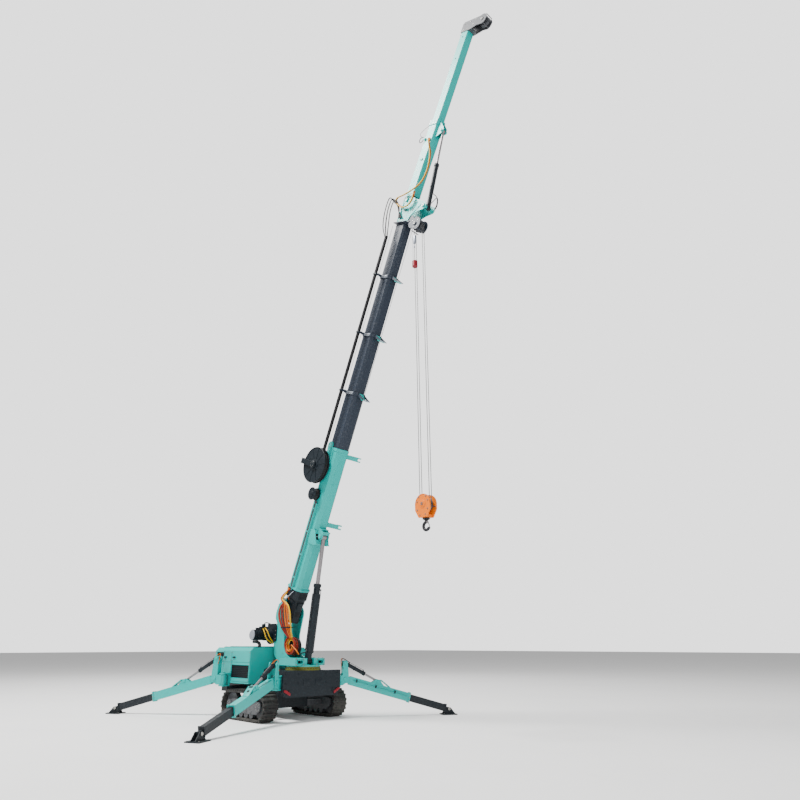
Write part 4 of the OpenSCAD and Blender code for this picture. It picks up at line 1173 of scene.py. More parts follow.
class Leg(Assembly):
    """Pipes, pin caps, bolts and hoses of one outrigger leg.

    Args:
        shop: Where its pieces are made.
        name: The leg's name, such as leg_fr.
    """

    WIDTH = 0.112
    DEPTH = 0.150
    OUTER = 1.290
    LUG = (0.620, 0.120)

    def __init__(self, shop: Workshop, name: str) -> None:
        """Takes the leg's directions from its joints."""
        super().__init__(shop)
        self.name = name
        crane = shop.crane
        along = crane.heading(f"{name}_extend")
        level = Vector((along.x, along.y, 0)).normalized()
        self.side = Z.cross(level)
        self.beam = Beam(crane.pivot(f"{name}_lift"), along, self.side)
        self.level = level
        self.top = crane.pivot(f"{name}_barrel_tilt")
        self.stroke = crane.heading(f"{name}_rod_slide")

    def above(self, across: float, station: float, height: float) -> Vector:
        """A point in the leg's own coordinates, with height out of its upper side."""
        normal = self.side.cross(self.beam.along) * -1
        if normal.z < 0:
            normal = -normal
        return self.beam.origin + self.side * across + self.beam.along * station + normal * height

    @property
    def normal(self) -> Vector:
        """Unit vector out of the leg's upper side."""
        return self.above(0, 0, 1) - self.beam.origin

    def build(self) -> None:
        """Makes all pieces of the leg."""
        self.beam_trim()
        self.cylinder_trim()
        self.lug_cover()
        self.pins()
        self.foot()

    def beam_trim(self) -> None:
        """Flange bolts, the pipes along the outer beam and their clamps."""
        body = f"{self.name}_beam"
        half_w, half_h = self.WIDTH / 2 + 0.013, self.DEPTH / 2 + 0.013
        places = []
        for across in (-half_w, half_w):
            direction = self.side * (1 if across > 0 else -1)
            places += [(self.above(across, self.OUTER - 0.012, h), direction) for h in (-0.055, 0.0, 0.055)]
        for across in (-0.035, 0.035):
            places += [(self.above(across, self.OUTER - 0.012, half_h), self.normal)]
        self.shop.bolt(f"{body}_bolts", body, places, 0.007)
        routes = []
        for offset in (0.012, 0.034):
            routes.append([self.above(-self.WIDTH / 2 - 0.009, station, offset) for station in (0.16, 0.5, 0.9, 1.22)])
        self.shop.hoses(f"{body}_pipes", body, Paint.TEAL, routes, 0.006, steps=2)

        with self.shop.part(f"{body}_clamps", body, Paint.BLACK, bevel=0.002) as part:
            turn = Matrix((self.side, self.normal, self.beam.along)).transposed().to_4x4()
            for station in (0.22, 0.60, 0.98):
                place = Matrix.Translation(self.above(-self.WIDTH / 2 - 0.006, station, 0.023)) @ turn
                part.box((-0.011, -0.026, -0.014), (0.008, 0.026, 0.014), place)

    def lug_cover(self) -> None:
        """Sloping plate that closes the lug, with painted shade for the slot at its pin and for a hole."""
        body = f"{self.name}_beam"
        (pin_at, pin_over), top = self.LUG, self.DEPTH / 2
        with self.shop.part(f"{body}_lug_cover", body, Paint.TEAL, bevel=0.003) as part:
            outline = [(pin_at + 0.040, pin_over + 0.032), (pin_at + 0.060, pin_over + 0.040), (pin_at + 0.260, top + 0.006), (pin_at + 0.260, top - 0.002),
                       (pin_at + 0.235, top - 0.002)]
            part.prism([self.above(-self.WIDTH / 2, s, h) for s, h in outline], self.side * self.WIDTH)
        slope = (self.above(0, *outline[2]) - self.above(0, *outline[1])).normalized()
        out = slope.cross(self.side)
        out = out if out.z > 0 else -out
        # Painted shade: a dark disc for the hole and a dark strip for the slot
        with self.shop.part(f"{body}_lug_hole", body, Paint.PAINTED_SHADE_AND_GAPS) as part:
            part.turned(((0.024, 0.0), (0.024, 0.0015), (0.001, 0.0015)), self.above(0, *outline[1]) + slope * 0.115, out, 28)
            part.prism([self.above(x, *outline[1]) + slope * d + out * 0.001 for x, d in ((-0.036, 0.004), (0.036, 0.004), (0.036, 0.040), (-0.036, 0.040))],
                       out * 0.0012)

    def cylinder_trim(self) -> None:
        """Feed pipe, gland ring and hoses of the lifting cylinder."""
        body = f"{self.name}_barrel"
        out = self.side.cross(self.stroke)
        if out.z < 0:
            out = -out

        with self.shop.part(f"{body}_rings", body, Paint.BLACK) as part:
            for station in (0.06, 0.20, 0.385):
                part.band(self.top + self.stroke * station, self.stroke, 0.034, 0.0395, 0.016, 28)
            for station in (0.075, 0.375):
                part.turned(((0.011, 0.030), (0.011, 0.052), (0.007, 0.055), (0.001, 0.055)),
                           self.top + self.stroke * station, out, 12)
        pipe = [self.top + self.stroke * 0.075 + out * 0.046, self.top + self.stroke * 0.11 + out * 0.050,
                self.top + self.stroke * 0.34 + out * 0.050, self.top + self.stroke * 0.375 + out * 0.046]
        self.shop.hoses(f"{body}_pipe", body, Paint.CHROME, [pipe], 0.0045, steps=5, sides=8)
        yoke = f"{self.name}_yoke"
        for index, (paint, shift) in enumerate(((Paint.HOSE_ORANGE, 0.018), (Paint.HOSE_BLACK, -0.018))):
            start = self.top + self.side * (0.078 if shift > 0 else -0.078) + Vector((0, 0, -0.10)) - self.level * 0.045
            end = self.top + self.stroke * 0.075 + out * 0.05
            middle = self.top - self.level * 0.055 + Vector((0, 0, 0.075)) + self.side * shift * 2
            self.shop.spanning(f"{self.name}_feed_{index}", (yoke, body), paint, [[start, middle, end]], 0.0065, start, end,
                               steps=12)

    def pins(self) -> None:
        """Pin heads, and the cap on the swing post."""
        for part, centre, reach, radius in (
            ("yoke", self.beam.origin, 0.086, 0.031), ("yoke", self.top, 0.084, 0.025),
            ("beam", self.above(0, *self.LUG), 0.054, 0.024),
        ):
            body = f"{self.name}_{part}"
            label = f"{body}_pin_heads_{round(centre.z * 1000)}"

            with self.shop.part(label, body, Paint.TEAL) as part:
                for sign in (-1, 1):
                    part.turned(((radius, -0.006), (radius, 0.003), (radius - 0.004, 0.007), (0.001, 0.008)),
                               centre + self.side * (sign * reach), self.side * sign, 24)
        post = self.shop.crane.pivot(f"{self.name}_swing")

        with self.shop.part(f"{self.name}_post_cap", "root", Paint.TEAL) as part:
            part.turned(((0.036, 0.0), (0.036, 0.006), (0.030, 0.010), (0.001, 0.010)), Vector((post.x, post.y, 0.736)),
                       Z, 28)

    def foot(self) -> None:
        """Ankle pin heads and plate bolts of the foot."""
        body = f"{self.name}_inner"
        post = self.shop.crane.pivot(f"{self.name}_swing")
        middle = Vector((post.x, post.y, 0)) + self.level * 2.16
        places = []
        for a in (-0.115, 0.115):
            for b in (-0.095, 0.095):
                places.append((middle + self.level * a + self.side * b + Vector((0, 0, 0.016)), Z))
        self.shop.bolt(f"{body}_foot_bolts", body, places, 0.009)

        with self.shop.part(f"{body}_ankle", body, Paint.ZINC) as part:
            for sign in (-1, 1):
                part.turned(((0.026, -0.002), (0.026, 0.004), (0.021, 0.008), (0.001, 0.008)),
                           middle + Vector((0, 0, 0.095)) + self.side * (sign * 0.056), self.side * sign, 24)


# Column and winch


class Column(Assembly):
    """Hoses, coil, winch rope and pin covers of the slewing column."""

    PLATE = 0.180
    DRUM = Vector((0, 0.845, 1.395))

    def build(self) -> None:
        """Makes all pieces of the column."""
        self.coil()
        self.riser()
        self.pin_covers()
        self.winch()
        self.base()

    def coil(self) -> None:
        """Hose loops that take up the slewing between the plates."""
        centre = Vector((0, 0.235, 1.20))
        forward, up = -Y, Z
        for paint, xs, radius in ((Paint.HOSE_RED, (-0.160, -0.132, -0.075), 0.160), (Paint.HOSE_ORANGE, (-0.146, -0.104), 0.130),
                                  (Paint.HOSE_BLACK, (-0.05, -0.02, 0.01), 0.145), (Paint.HOSE_YELLOW, (-0.12,), 0.104)):
            routes = []
            for k, x in enumerate(xs):
                shift = Vector((x, 0.01 * k, -0.008 * k))
                loop = arc_points(centre + shift, forward, up, radius, -60, 230, 12)
                loop.append(centre + shift + Vector((-0.01, 0.19, -0.12)))
                routes.append(loop)
            self.shop.hoses(f"coil_{paint.name.lower()}", "column", paint, routes, 0.0125, steps=6, sides=12)
        for paint, rows in ((Paint.HOSE_RED, ((-0.155, 0.135), (-0.130, 0.108), (-0.090, 0.128))),
                            (Paint.HOSE_ORANGE, ((-0.160, 0.085), (-0.118, 0.078), (-0.085, 0.098)))):
            routes = [arc_points(centre + Vector((x, 0, -0.005)), forward, up, radius, 165, 372, 12) for x, radius in rows]
            self.shop.hoses(f"coil_bottom_{paint.name.lower()}", "column", paint, routes, 0.0125, steps=5, sides=12)
        cross = [[Vector((-0.165, 0.17, 1.22)), Vector((-0.168, 0.08, 1.17)), Vector((-0.162, 0.0, 1.12)), Vector((-0.14, -0.04, 1.06))]]
        self.shop.hoses("coil_lead", "column", Paint.HOSE_ORANGE, cross, 0.011)

    def riser(self) -> None:
        """Hoses up the right plate and over to the boom's foot."""
        boom = self.boom
        # Height, and the place along of the band's rear and front edge there
        edges = ((1.335, 0.276, 0.160), (1.455, 0.385, 0.138), (1.614, 0.500, 0.142), (1.776, 0.552, 0.168), (1.900, 0.510, 0.236),
                 (1.962, 0.425, 0.325))
        across = (-0.152, -0.200, -0.222, -0.228, -0.226, -0.222)
        paints = (Paint.HOSE_RED, Paint.HOSE_RED, Paint.HOSE_BLACK, Paint.HOSE_RED, Paint.HOSE_BLACK, Paint.HOSE_ORANGE,
                  Paint.HOSE_RED, Paint.HOSE_ORANGE, Paint.HOSE_ORANGE, Paint.HOSE_YELLOW)
        for k, paint in enumerate(paints):
            share = k / (len(paints) - 1)
            layer = 0.012 * (k % 2)
            route = [Vector((x - layer, rear + (front - rear) * share, z)) for x, (z, rear, front) in zip(across, edges)]
            self.shop.hoses(f"riser_{k}", "column", paint, [route], 0.0135, steps=8, sides=12)
            start = route[-1]
            end = boom.at(-0.176 - layer, 0.47, 0.012 + 0.006 * k)
            bend = [start, boom.at(-0.215 - layer, 0.235, 0.172 - 0.055 * share), boom.at(-0.196 - layer, 0.36, 0.118 - 0.03 * share), end]
            self.shop.spanning(f"riser_bend_{k}", ("column", "boom_1"), paint, [bend], 0.0125, start, end, steps=10, sides=12)
        with self.shop.part("riser_clips", "column", Paint.BLACK, bevel=0.003) as part:
            part.box((-0.250, 0.130, 1.508), (-0.181, 0.152, 1.530))
            part.box((-0.250, 0.405, 1.508), (-0.181, 0.425, 1.530))
            part.box((-0.250, 0.130, 1.508), (-0.242, 0.425, 1.530))

    def pin_covers(self) -> None:
        """Covers over the boom's pivot and the luffing cylinder's foot pin."""
        pivot = self.shop.crane.pivot("boom_luff")
        bolts = []

        with self.shop.part("pivot_covers", "column", Paint.TEAL) as part:
            for sign in (-1, 1):
                centre = Vector((sign * (self.PLATE + 0.018), pivot.y, pivot.z))
                part.turned(((0.052, -0.016), (0.052, 0.004), (0.046, 0.009), (0.001, 0.010)), centre, X * sign, 36)
                bolts.extend(ring_places(centre + Vector((sign * 0.009, 0, 0)), X * sign, 0.034, 6))
        self.shop.bolt("pivot_bolts", "column", bolts, 0.0065)

    def winch(self) -> None:
        """Rope on the drum, the motor's end cap, hoses and the frame's bolts."""
        forward, up = -Y, Z

        with self.shop.part("drum_rope", "column", Paint.ROPE, smooth=60) as part:
            for k in range(19):
                centre = self.DRUM + Vector((-0.117 + 0.013 * k, 0, 0))
                path = arc_points(centre, forward, up, 0.1175, 0, 354, 40)
                part.tube([p + Vector((0.013 * i / 39, 0, 0)) for i, p in enumerate(path)], 0.0062, 6)

        with self.shop.part("motor_cap", "column", Paint.PALE_STEEL) as part:
            end = self.DRUM + Vector((-0.5943, 0, 0))
            part.turned(((0.088, -0.004), (0.088, 0.010), (0.074, 0.022), (0.040, 0.026), (0.001, 0.026)), end, -X, 36)
        places = ring_places(self.DRUM + Vector((-0.345, 0, 0)), -X, 0.0875, 10)
        places += ring_places(self.DRUM + Vector((0.2283, 0, 0)), X, 0.045, 6)
        places += [(Vector((-0.1946, 0.675, z)), -X) for z in (1.33, 1.40, 1.47)]
        places += [(Vector((0.1946, 0.675, z)), X) for z in (1.33, 1.40, 1.47)]
        self.shop.bolt("winch_bolts", "column", places, 0.008)

        with self.shop.part("motor_valve", "column", Paint.BLACK, bevel=0.005) as part:
            part.box((-0.43, 0.79, 1.487), (-0.30, 0.90, 1.545))
            part.box((-0.40, 0.80, 1.545), (-0.34, 0.85, 1.59))
            part.box((-0.52, 0.815, 1.480), (-0.46, 0.875, 1.525))
        yellow = [
            [Vector((-0.36, 0.80, 1.52)), Vector((-0.37, 0.70, 1.47)), Vector((-0.33, 0.66, 1.36)), Vector((-0.25, 0.69, 1.29)),
             Vector((-0.206, 0.72, 1.26))],
            [Vector((-0.40, 0.80, 1.51)), Vector((-0.42, 0.715, 1.45)), Vector((-0.38, 0.68, 1.33)), Vector((-0.28, 0.70, 1.27)),
             Vector((-0.206, 0.735, 1.235))],
        ]
        self.shop.hoses("motor_hoses", "column", Paint.HOSE_YELLOW, yellow, 0.0095, steps=8, sides=12)
        black = [[Vector((-0.32, 0.89, 1.53)), Vector((-0.30, 0.97, 1.56)), Vector((-0.24, 0.96, 1.62)), Vector((-0.205, 0.86, 1.60))]]
        self.shop.hoses("motor_drain", "column", Paint.HOSE_BLACK, black, 0.0095, steps=8, sides=12)

    def base(self) -> None:
        """Bolts on the base, and the window frames beside the cylinder's foot with painted shade behind them."""
        places = [(Vector((x, y, 0.998)), Z) for x in (-0.295, 0.295) for y in (-0.19, -0.06, 0.08, 0.27)]
        places += [(Vector((x, -0.215, z)), -Y) for x in (-0.305, -0.145, 0.145, 0.305) for z in (0.895, 0.98)]
        self.shop.bolt("base_bolts", "column", places, 0.009)

        with self.shop.part("window_frames", "column", Paint.TEAL, bevel=0.002) as part:
            for x in (-0.225, 0.225):
                part.box((x - 0.065, -0.224, 0.962), (x + 0.065, -0.213, 0.975))
                part.box((x - 0.065, -0.224, 0.903), (x + 0.065, -0.213, 0.913))
                for side in (-1, 1):
                    low, high = sorted((x + side * 0.055, x + side * 0.065))
                    part.box((low, -0.224, 0.903), (high, -0.213, 0.975))
        # Painted shade inside the two windows, as dark sheets behind the frames
        with self.shop.part("window_shade", "column", Paint.PAINTED_SHADE_AND_GAPS) as part:
            part.pair((0.172, -0.150, 0.915), (0.278, -0.146, 0.966))


# Boom


class BoomBase(Assembly):
    """Foot, pipes, reels and rod box of the boom's base section."""

    SIDE = -0.143
    REEL = (2.855, 0.290)
    SMALL_REEL = (2.320, 0.100)

    def build(self) -> None:
        """Makes all pieces of the base section."""
        self.foot()
        self.casting()
        self.rod_box()
        self.pipes()
        self.big_reel()
        self.small_reel()
        self.plates()
        self.cylinder()

    def foot(self) -> None:
        """Valve block, hose ends and flange bolts at the foot."""
        boom = self.boom
        with self.shop.part("foot_valves", "boom_1", Paint.BLACK, bevel=0.004) as part:
            for low, high in (
                ((-0.147, -0.115, 0.22), (-0.129, 0.02, 0.30)), ((-0.146, -0.150, 0.235), (-0.129, -0.125, 0.28)),
                ((-0.060, -0.182, 0.15), (0.060, -0.158, 0.27)), ((0.129, -0.10, 0.22), (0.146, 0.06, 0.30)),
            ):
                part.box(low, high, boom.place)

        # Painted shade in the foot's two windows, as thin dark boxes
        with self.shop.part("foot_window_shade", "boom_1", Paint.PAINTED_SHADE_AND_GAPS) as part:
            part.box((-0.1325, -0.06, 0.135), (-0.1305, 0.09, 0.19), boom.place)
            part.box((-0.045, -0.1625, 0.00), (0.045, -0.1595, 0.10), boom.place)
        silver = [[boom.at(-0.168, 0.46, -0.075), boom.at(-0.210, 0.425, -0.082), boom.at(-0.222, 0.30, 0.005), boom.at(-0.218, 0.20, 0.085),
                   boom.at(-0.186, 0.175, 0.13)]]
        self.shop.hoses("foot_pipe", "boom_1", Paint.PALE_STEEL, silver, 0.009, steps=8)
        orange = [[boom.at(-0.130, 0.24, 0.00), boom.at(-0.138, 0.28, 0.05), boom.at(-0.150, 0.36, 0.12), boom.at(-0.170, 0.46, 0.13)]]
        self.shop.hoses("foot_hose", "boom_1", Paint.HOSE_ORANGE, orange, 0.010, steps=8)
        places = []
        for height in (-0.10, -0.03, 0.04, 0.11):
            places += [(boom.at(side * 0.166, 0.493, height), -boom.along) for side in (-1, 1)]
        for across in (-0.08, 0.0, 0.08):
            places += [(boom.at(across, 0.493, height), -boom.along) for height in (-0.194, 0.194)]
        self.shop.bolt("flange_bolts", "boom_1", places, 0.0065)

    def rim(self, station: float, proud: float) -> list[Vector]:
        """Corners of the base section's outline at a station, that many metres outside its skin."""
        w, h, under, above = BASE.width / 2 + proud, BASE.depth / 2 + proud, 0.060 + proud * 0.6, 0.026 + proud * 0.6
        corners = ((-w, h - above), (-w + above, h), (w - above, h), (w, h - above), (w, under - h), (w - under, -h), (under - w, -h), (-w, under - h))
        return [self.boom.at(x, station, height) for x, height in corners]

    def casting(self) -> None:
        """Upper half of the black foot casting, and the teal flange that the section is welded to."""
        boom = self.boom
        with self.shop.part("foot_casting", "boom_1", Paint.BLACK, bevel=0.004) as part:
            part.prism(self.rim(0.337, 0.0155), boom.along * 0.155)
            part.box((-0.192, -0.045, 0.398), (-0.156, 0.050, 0.462), boom.place)
            part.box((-0.186, 0.050, 0.405), (-0.160, 0.075, 0.435), boom.place)
            for station in (0.345, 0.465):
                part.box((-0.10, -0.196, station), (0.10, -0.186, station + 0.02), boom.place)
        # Painted shade in the casting's two pockets, as thin dark plates
        with self.shop.part("casting_pocket_shade", "boom_1", Paint.PAINTED_SHADE_AND_GAPS) as part:
            part.box((-0.085, -0.1895, 0.378), (-0.005, -0.1870, 0.450), boom.place)
            part.box((0.010, -0.1895, 0.378), (0.085, -0.1870, 0.450), boom.place)
        with self.shop.part("foot_flange", "boom_1", Paint.TEAL, bevel=0.004) as part:
            for station, proud, length in ((0.492, 0.030, 0.030), (0.521, 0.010, 0.020)):
                ends = ((station, proud), (station + length, proud), (station + length, -0.004), (station, -0.004))
                rings = [[part.bm.verts.new(corner) for corner in self.rim(*end)] for end in ends]
                part.join([*rings, rings[0]])

    def rod_box(self) -> None:
        """Wide side plates of the rod box, its sloping face strips, painted shade in its opening, and tubular lip."""
        boom = self.boom
        outline = ((1.667, 0.109), (1.404, -0.070), (1.423, -0.257), (1.462, -0.318), (1.690, -0.172))
        with self.shop.part("rod_box_sides", "boom_1", Paint.TEAL, bevel=0.003) as part:
            for side in (-1, 1):
                part.prism([boom.at(side * 0.1435, s, h) for s, h in outline], X * (side * 0.012))
                for low, high in ((0.0, 0.26), (0.70, 1.0)):
                    ends = [Vector((0, 1.690 + (1.462 - 1.690) * t, -0.166 + (-0.312 + 0.166) * t)) for t in (low, high)]
                    strip = [boom.at(side * x, ends[i].y, ends[i].z) for x, i in ((0.080, 0), (0.1435, 0), (0.1435, 1), (0.080, 1))]
                    part.prism(strip, boom.up * 0.008)
        with self.shop.part("rod_box_lip", "boom_1", Paint.TEAL, smooth=60) as part:
            for side in (-1, 1):
                part.tube([boom.at(side * 0.082, 1.458, -0.318), boom.at(side * 0.157, 1.458, -0.318)], 0.012, 16)
        low, high = boom.at(0, 1.636, -0.200), boom.at(0, 1.526, -0.268)
        # Painted shade in the rod box's opening, as thin dark plates
        with self.shop.part("rod_box_opening_shade", "boom_1", Paint.PAINTED_SHADE_AND_GAPS) as part:
            for side in (-1, 1):
                part.prism([p + X * (side * x) for x, p in ((0.080, low), (0.1435, low), (0.1435, high), (0.080, high))], boom.up * 0.006)
        with self.shop.part("rod_box_rods", "boom_1", Paint.PALE_STEEL, smooth=60) as part:
            for side in (-1, 1):
                part.tube([(low + high) / 2 + X * (side * x) - boom.up * 0.004 for x in (0.080, 0.1435)], 0.005, 8)

    def pipes(self) -> None:
        """Pipes on the shelf along the right side, with their clamps."""
        boom = self.boom
        routes = [[boom.at(-0.168, s, 0.012 + 0.021 * k) for s in (0.50, 1.0, 1.6, 2.12)] + [boom.at(-0.178, 2.20, 0.04 + 0.012 * k)]
                  for k in range(3)]
        self.shop.hoses("base_pipes", "boom_1", Paint.STEEL_PIPE, routes, 0.0100, steps=3, sides=12)
        with self.shop.part("pipe_clamps", "boom_1", Paint.TEAL, bevel=0.003) as part:
            for station in (0.70, 1.15, 1.60, 2.05):
                part.box((-0.180, 0.0, station - 0.010), (-0.142, 0.062, station + 0.010), boom.place)
        with self.shop.part("pipe_rail", "boom_1", Paint.TEAL, bevel=0.002) as part:
            part.box((-0.176, 0.070, 0.56), (-0.142, 0.077, 2.13), boom.place)

    def disc(self, part: Shape, centre: Vector, outer: float, inner: float, tube: float, spokes: int) -> None:
        """Adds a reel's outer face: rolled rim, hub ring and pressed spokes.

        Args:
            part: The shape to add to.
            centre: Middle of the face.
            outer: Radius of the rim.
            inner: Radius of the hub.
            tube: Radius of the rolled rim.
            spokes: Number of spokes.
        """
        boom = self.boom
        ring = arc_points(centre, boom.along, boom.up, outer, 0, 360, 49)
        part.tube(ring, tube, 8)
        out = -X
        part.turned(((inner, 0.0), (inner, 0.008), (inner * 0.8, 0.014), (inner * 0.5, 0.014), (inner * 0.45, 0.022), (0.001, 0.022)),
                   centre, out, 36)
        for k in range(spokes):
            angle = 2 * math.pi * k / spokes
            ray = boom.along * math.cos(angle) + boom.up * math.sin(angle)
            flat = ray.cross(out).normalized()
            outline = [centre + ray * (inner * 0.8) + flat * 0.02, centre + ray * (outer - tube) + flat * 0.009,
                       centre + ray * (outer - tube) - flat * 0.009, centre + ray * (inner * 0.8) - flat * 0.02]
            part.prism(outline, out * 0.005)

    def windings(self, name: str, at: tuple[float, float], xs: Sequence[float], radii: Sequence[float], tube: float) -> None:
        """Hose wound on a reel.

        Args:
            name: The piece's name.
            at: Station and height of the reel.
            xs: Place across of each row.
            radii: Radius of each layer.
            tube: Radius of the hose.
        """
        boom = self.boom

        with self.shop.part(name, "boom_1", Paint.HOSE_BLACK, smooth=60) as part:
            for x in xs:
                for radius in radii:
                    part.tube(arc_points(boom.at(x, *at), boom.along, boom.up, radius, 0, 358, 44), tube, 8)

    def big_reel(self) -> None:
        """Rims, spokes, strap and windings of the big reel."""
        boom = self.boom
        centre = boom.at(-0.2833, *self.REEL)

        with self.shop.part("reel_faces", "boom_1", Paint.BLACK) as part:
            self.disc(part, centre, 0.347, 0.115, 0.009, 10)
            part.tube(arc_points(boom.at(-0.184, *self.REEL), boom.along, boom.up, 0.347, 0, 360, 49), 0.009, 8)
        self.windings("reel_hose", self.REEL, (-0.207, -0.2315, -0.256), (0.203, 0.227, 0.251, 0.275, 0.299, 0.322), 0.012)
        turn = boom.place
        s, h = self.REEL

        with self.shop.part("reel_strap", "boom_1", Paint.BLACK, bevel=0.006) as part:
            part.box((-0.325, h - 0.02, s - 0.055), (-0.305, h + 0.42, s + 0.055), turn)
            part.box((-0.325, h + 0.375, s - 0.055), (-0.150, h + 0.42, s + 0.055), turn)
            part.turned(((0.075, 0.0), (0.075, 0.030), (0.06, 0.040), (0.001, 0.040)), boom.at(-0.300, s, h), -X, 32)
        self.shop.bolt("reel_bolts", "boom_1", ring_places(boom.at(-0.340, s, h), -X, 0.045, 6), 0.006)

    def small_reel(self) -> None:
        """Ribs and windings of the small reel."""
        boom = self.boom
        centre = boom.at(-0.2733, *self.SMALL_REEL)
        with self.shop.part("small_reel_face", "boom_1", Paint.BLACK) as part:
            self.disc(part, centre, 0.118, 0.05, 0.006, 8)
        self.windings("small_reel_hose", self.SMALL_REEL, (-0.186, -0.205, -0.224, -0.243), (0.081, 0.099), 0.0085)

    def plates(self) -> None:
        """Bolts of the ears, rod box, stow brackets and weld beads."""
        boom = self.boom
        out = -X
        places = ring_places(boom.at(-0.1562, 3.310, 0.120), out, 0.048, 6)
        places += ring_places(boom.at(0.1562, 3.310, 0.120), -out, 0.048, 6)
        places += [(boom.at(-0.1562, s, 0.10), out) for s in (3.00, 3.10, 3.20)]
        places += [(boom.at(0.1562, s, 0.10), -out) for s in (3.00, 3.10, 3.20)]
        self.shop.bolt("ear_bolts", "boom_1", places, 0.0085)

        with self.shop.part("weld_beads", "boom_1", Paint.TEAL, smooth=60) as part:
            for s in (2.590, 2.60):
                for side in (-1, 1):
                    part.tube([boom.at(side * 0.1432, s, -0.105), boom.at(side * 0.1432, s, -0.02)], 0.0028, 6)
                part.tube([boom.at(-0.08, s, -0.1722), boom.at(0.08, s, -0.1722)], 0.0028, 6)

        with self.shop.part("rod_pin_heads", "boom_1", Paint.TEAL) as part:
            for sign in (-1, 1):
                part.turned(((0.040, -0.004), (0.040, 0.004), (0.034, 0.009), (0.001, 0.010)), boom.at(sign * 0.098, 1.6, -0.290),
                           X * sign, 32)

        with self.shop.part("rod_box_lips", "boom_1", Paint.TEAL, smooth=60) as part:
            for s, n in ((1.735, 0.268), (1.700, 0.342)):
                part.tube([boom.at(-0.083, s, -n), boom.at(0.083, s, -n)], 0.011, 14)
        fork = []
        for s in (3.175, 1.810):
            base = boom.at(0.1435, s, -0.077)
            for dh in (-0.02, 0.02):
                fork.append((base + boom.up * (dh + 0.09) + boom.along * 0.0, X))
        self.shop.bolt("stow_bolts", "boom_1", fork, 0.0075)

    def cylinder(self) -> None:
        """Gland, bolts and feed pipes of the luffing cylinder."""
        crane = self.shop.crane
        foot = crane.pivot("luff_barrel_tilt")
        along = crane.heading("luff_rod_slide")
        front = X.cross(along).normalized()
        if front.y > 0:
            front = -front

        with self.shop.part("luff_rings", "luff_barrel", Paint.BLACK) as part:
            for station, radius, length in ((0.125, 0.067, 0.03), (0.18, 0.0755, 0.99), (1.285, 0.0735, 0.052)):
                part.band(foot + along * station, along, 0.062, radius, length, 40)
            for station in (0.16, 1.24):
                for side in (-1, 1):
                    part.turned(((0.015, 0.055), (0.015, 0.085), (0.010, 0.090), (0.001, 0.090)),
                               foot + along * station, (front * 0.3 + X * side).normalized(), 14)
        routes = []
        for side in (-1, 1):
            out = (front * 0.3 + X * side).normalized()
            routes.append([foot + along * 0.16 + out * 0.080, foot + along * 0.22 + out * 0.084, foot + along * 0.65 + out * 0.084,
                           foot + along * 1.14 + out * 0.084, foot + along * 1.24 + out * 0.080])
        self.shop.hoses("luff_pipes", "luff_barrel", Paint.FORGED, routes, 0.007, steps=4)
        self.shop.bolt("luff_bolts", "luff_barrel", ring_places(foot + along * 1.3455, along, 0.056, 10), 0.0055)
        for k, side in enumerate((-1, 1)):
            start = Vector((side * 0.115, 0.02, 0.985))
            end = foot + along * 0.16 + (front * 0.3 + X * side).normalized() * 0.085
            middle = Vector((side * 0.12, -0.07, 1.07))
            self.shop.spanning(f"luff_feed_{k}", ("column", "luff_barrel"), Paint.HOSE_BLACK, [[start, middle, end]], 0.009, start,
                               end, steps=12)


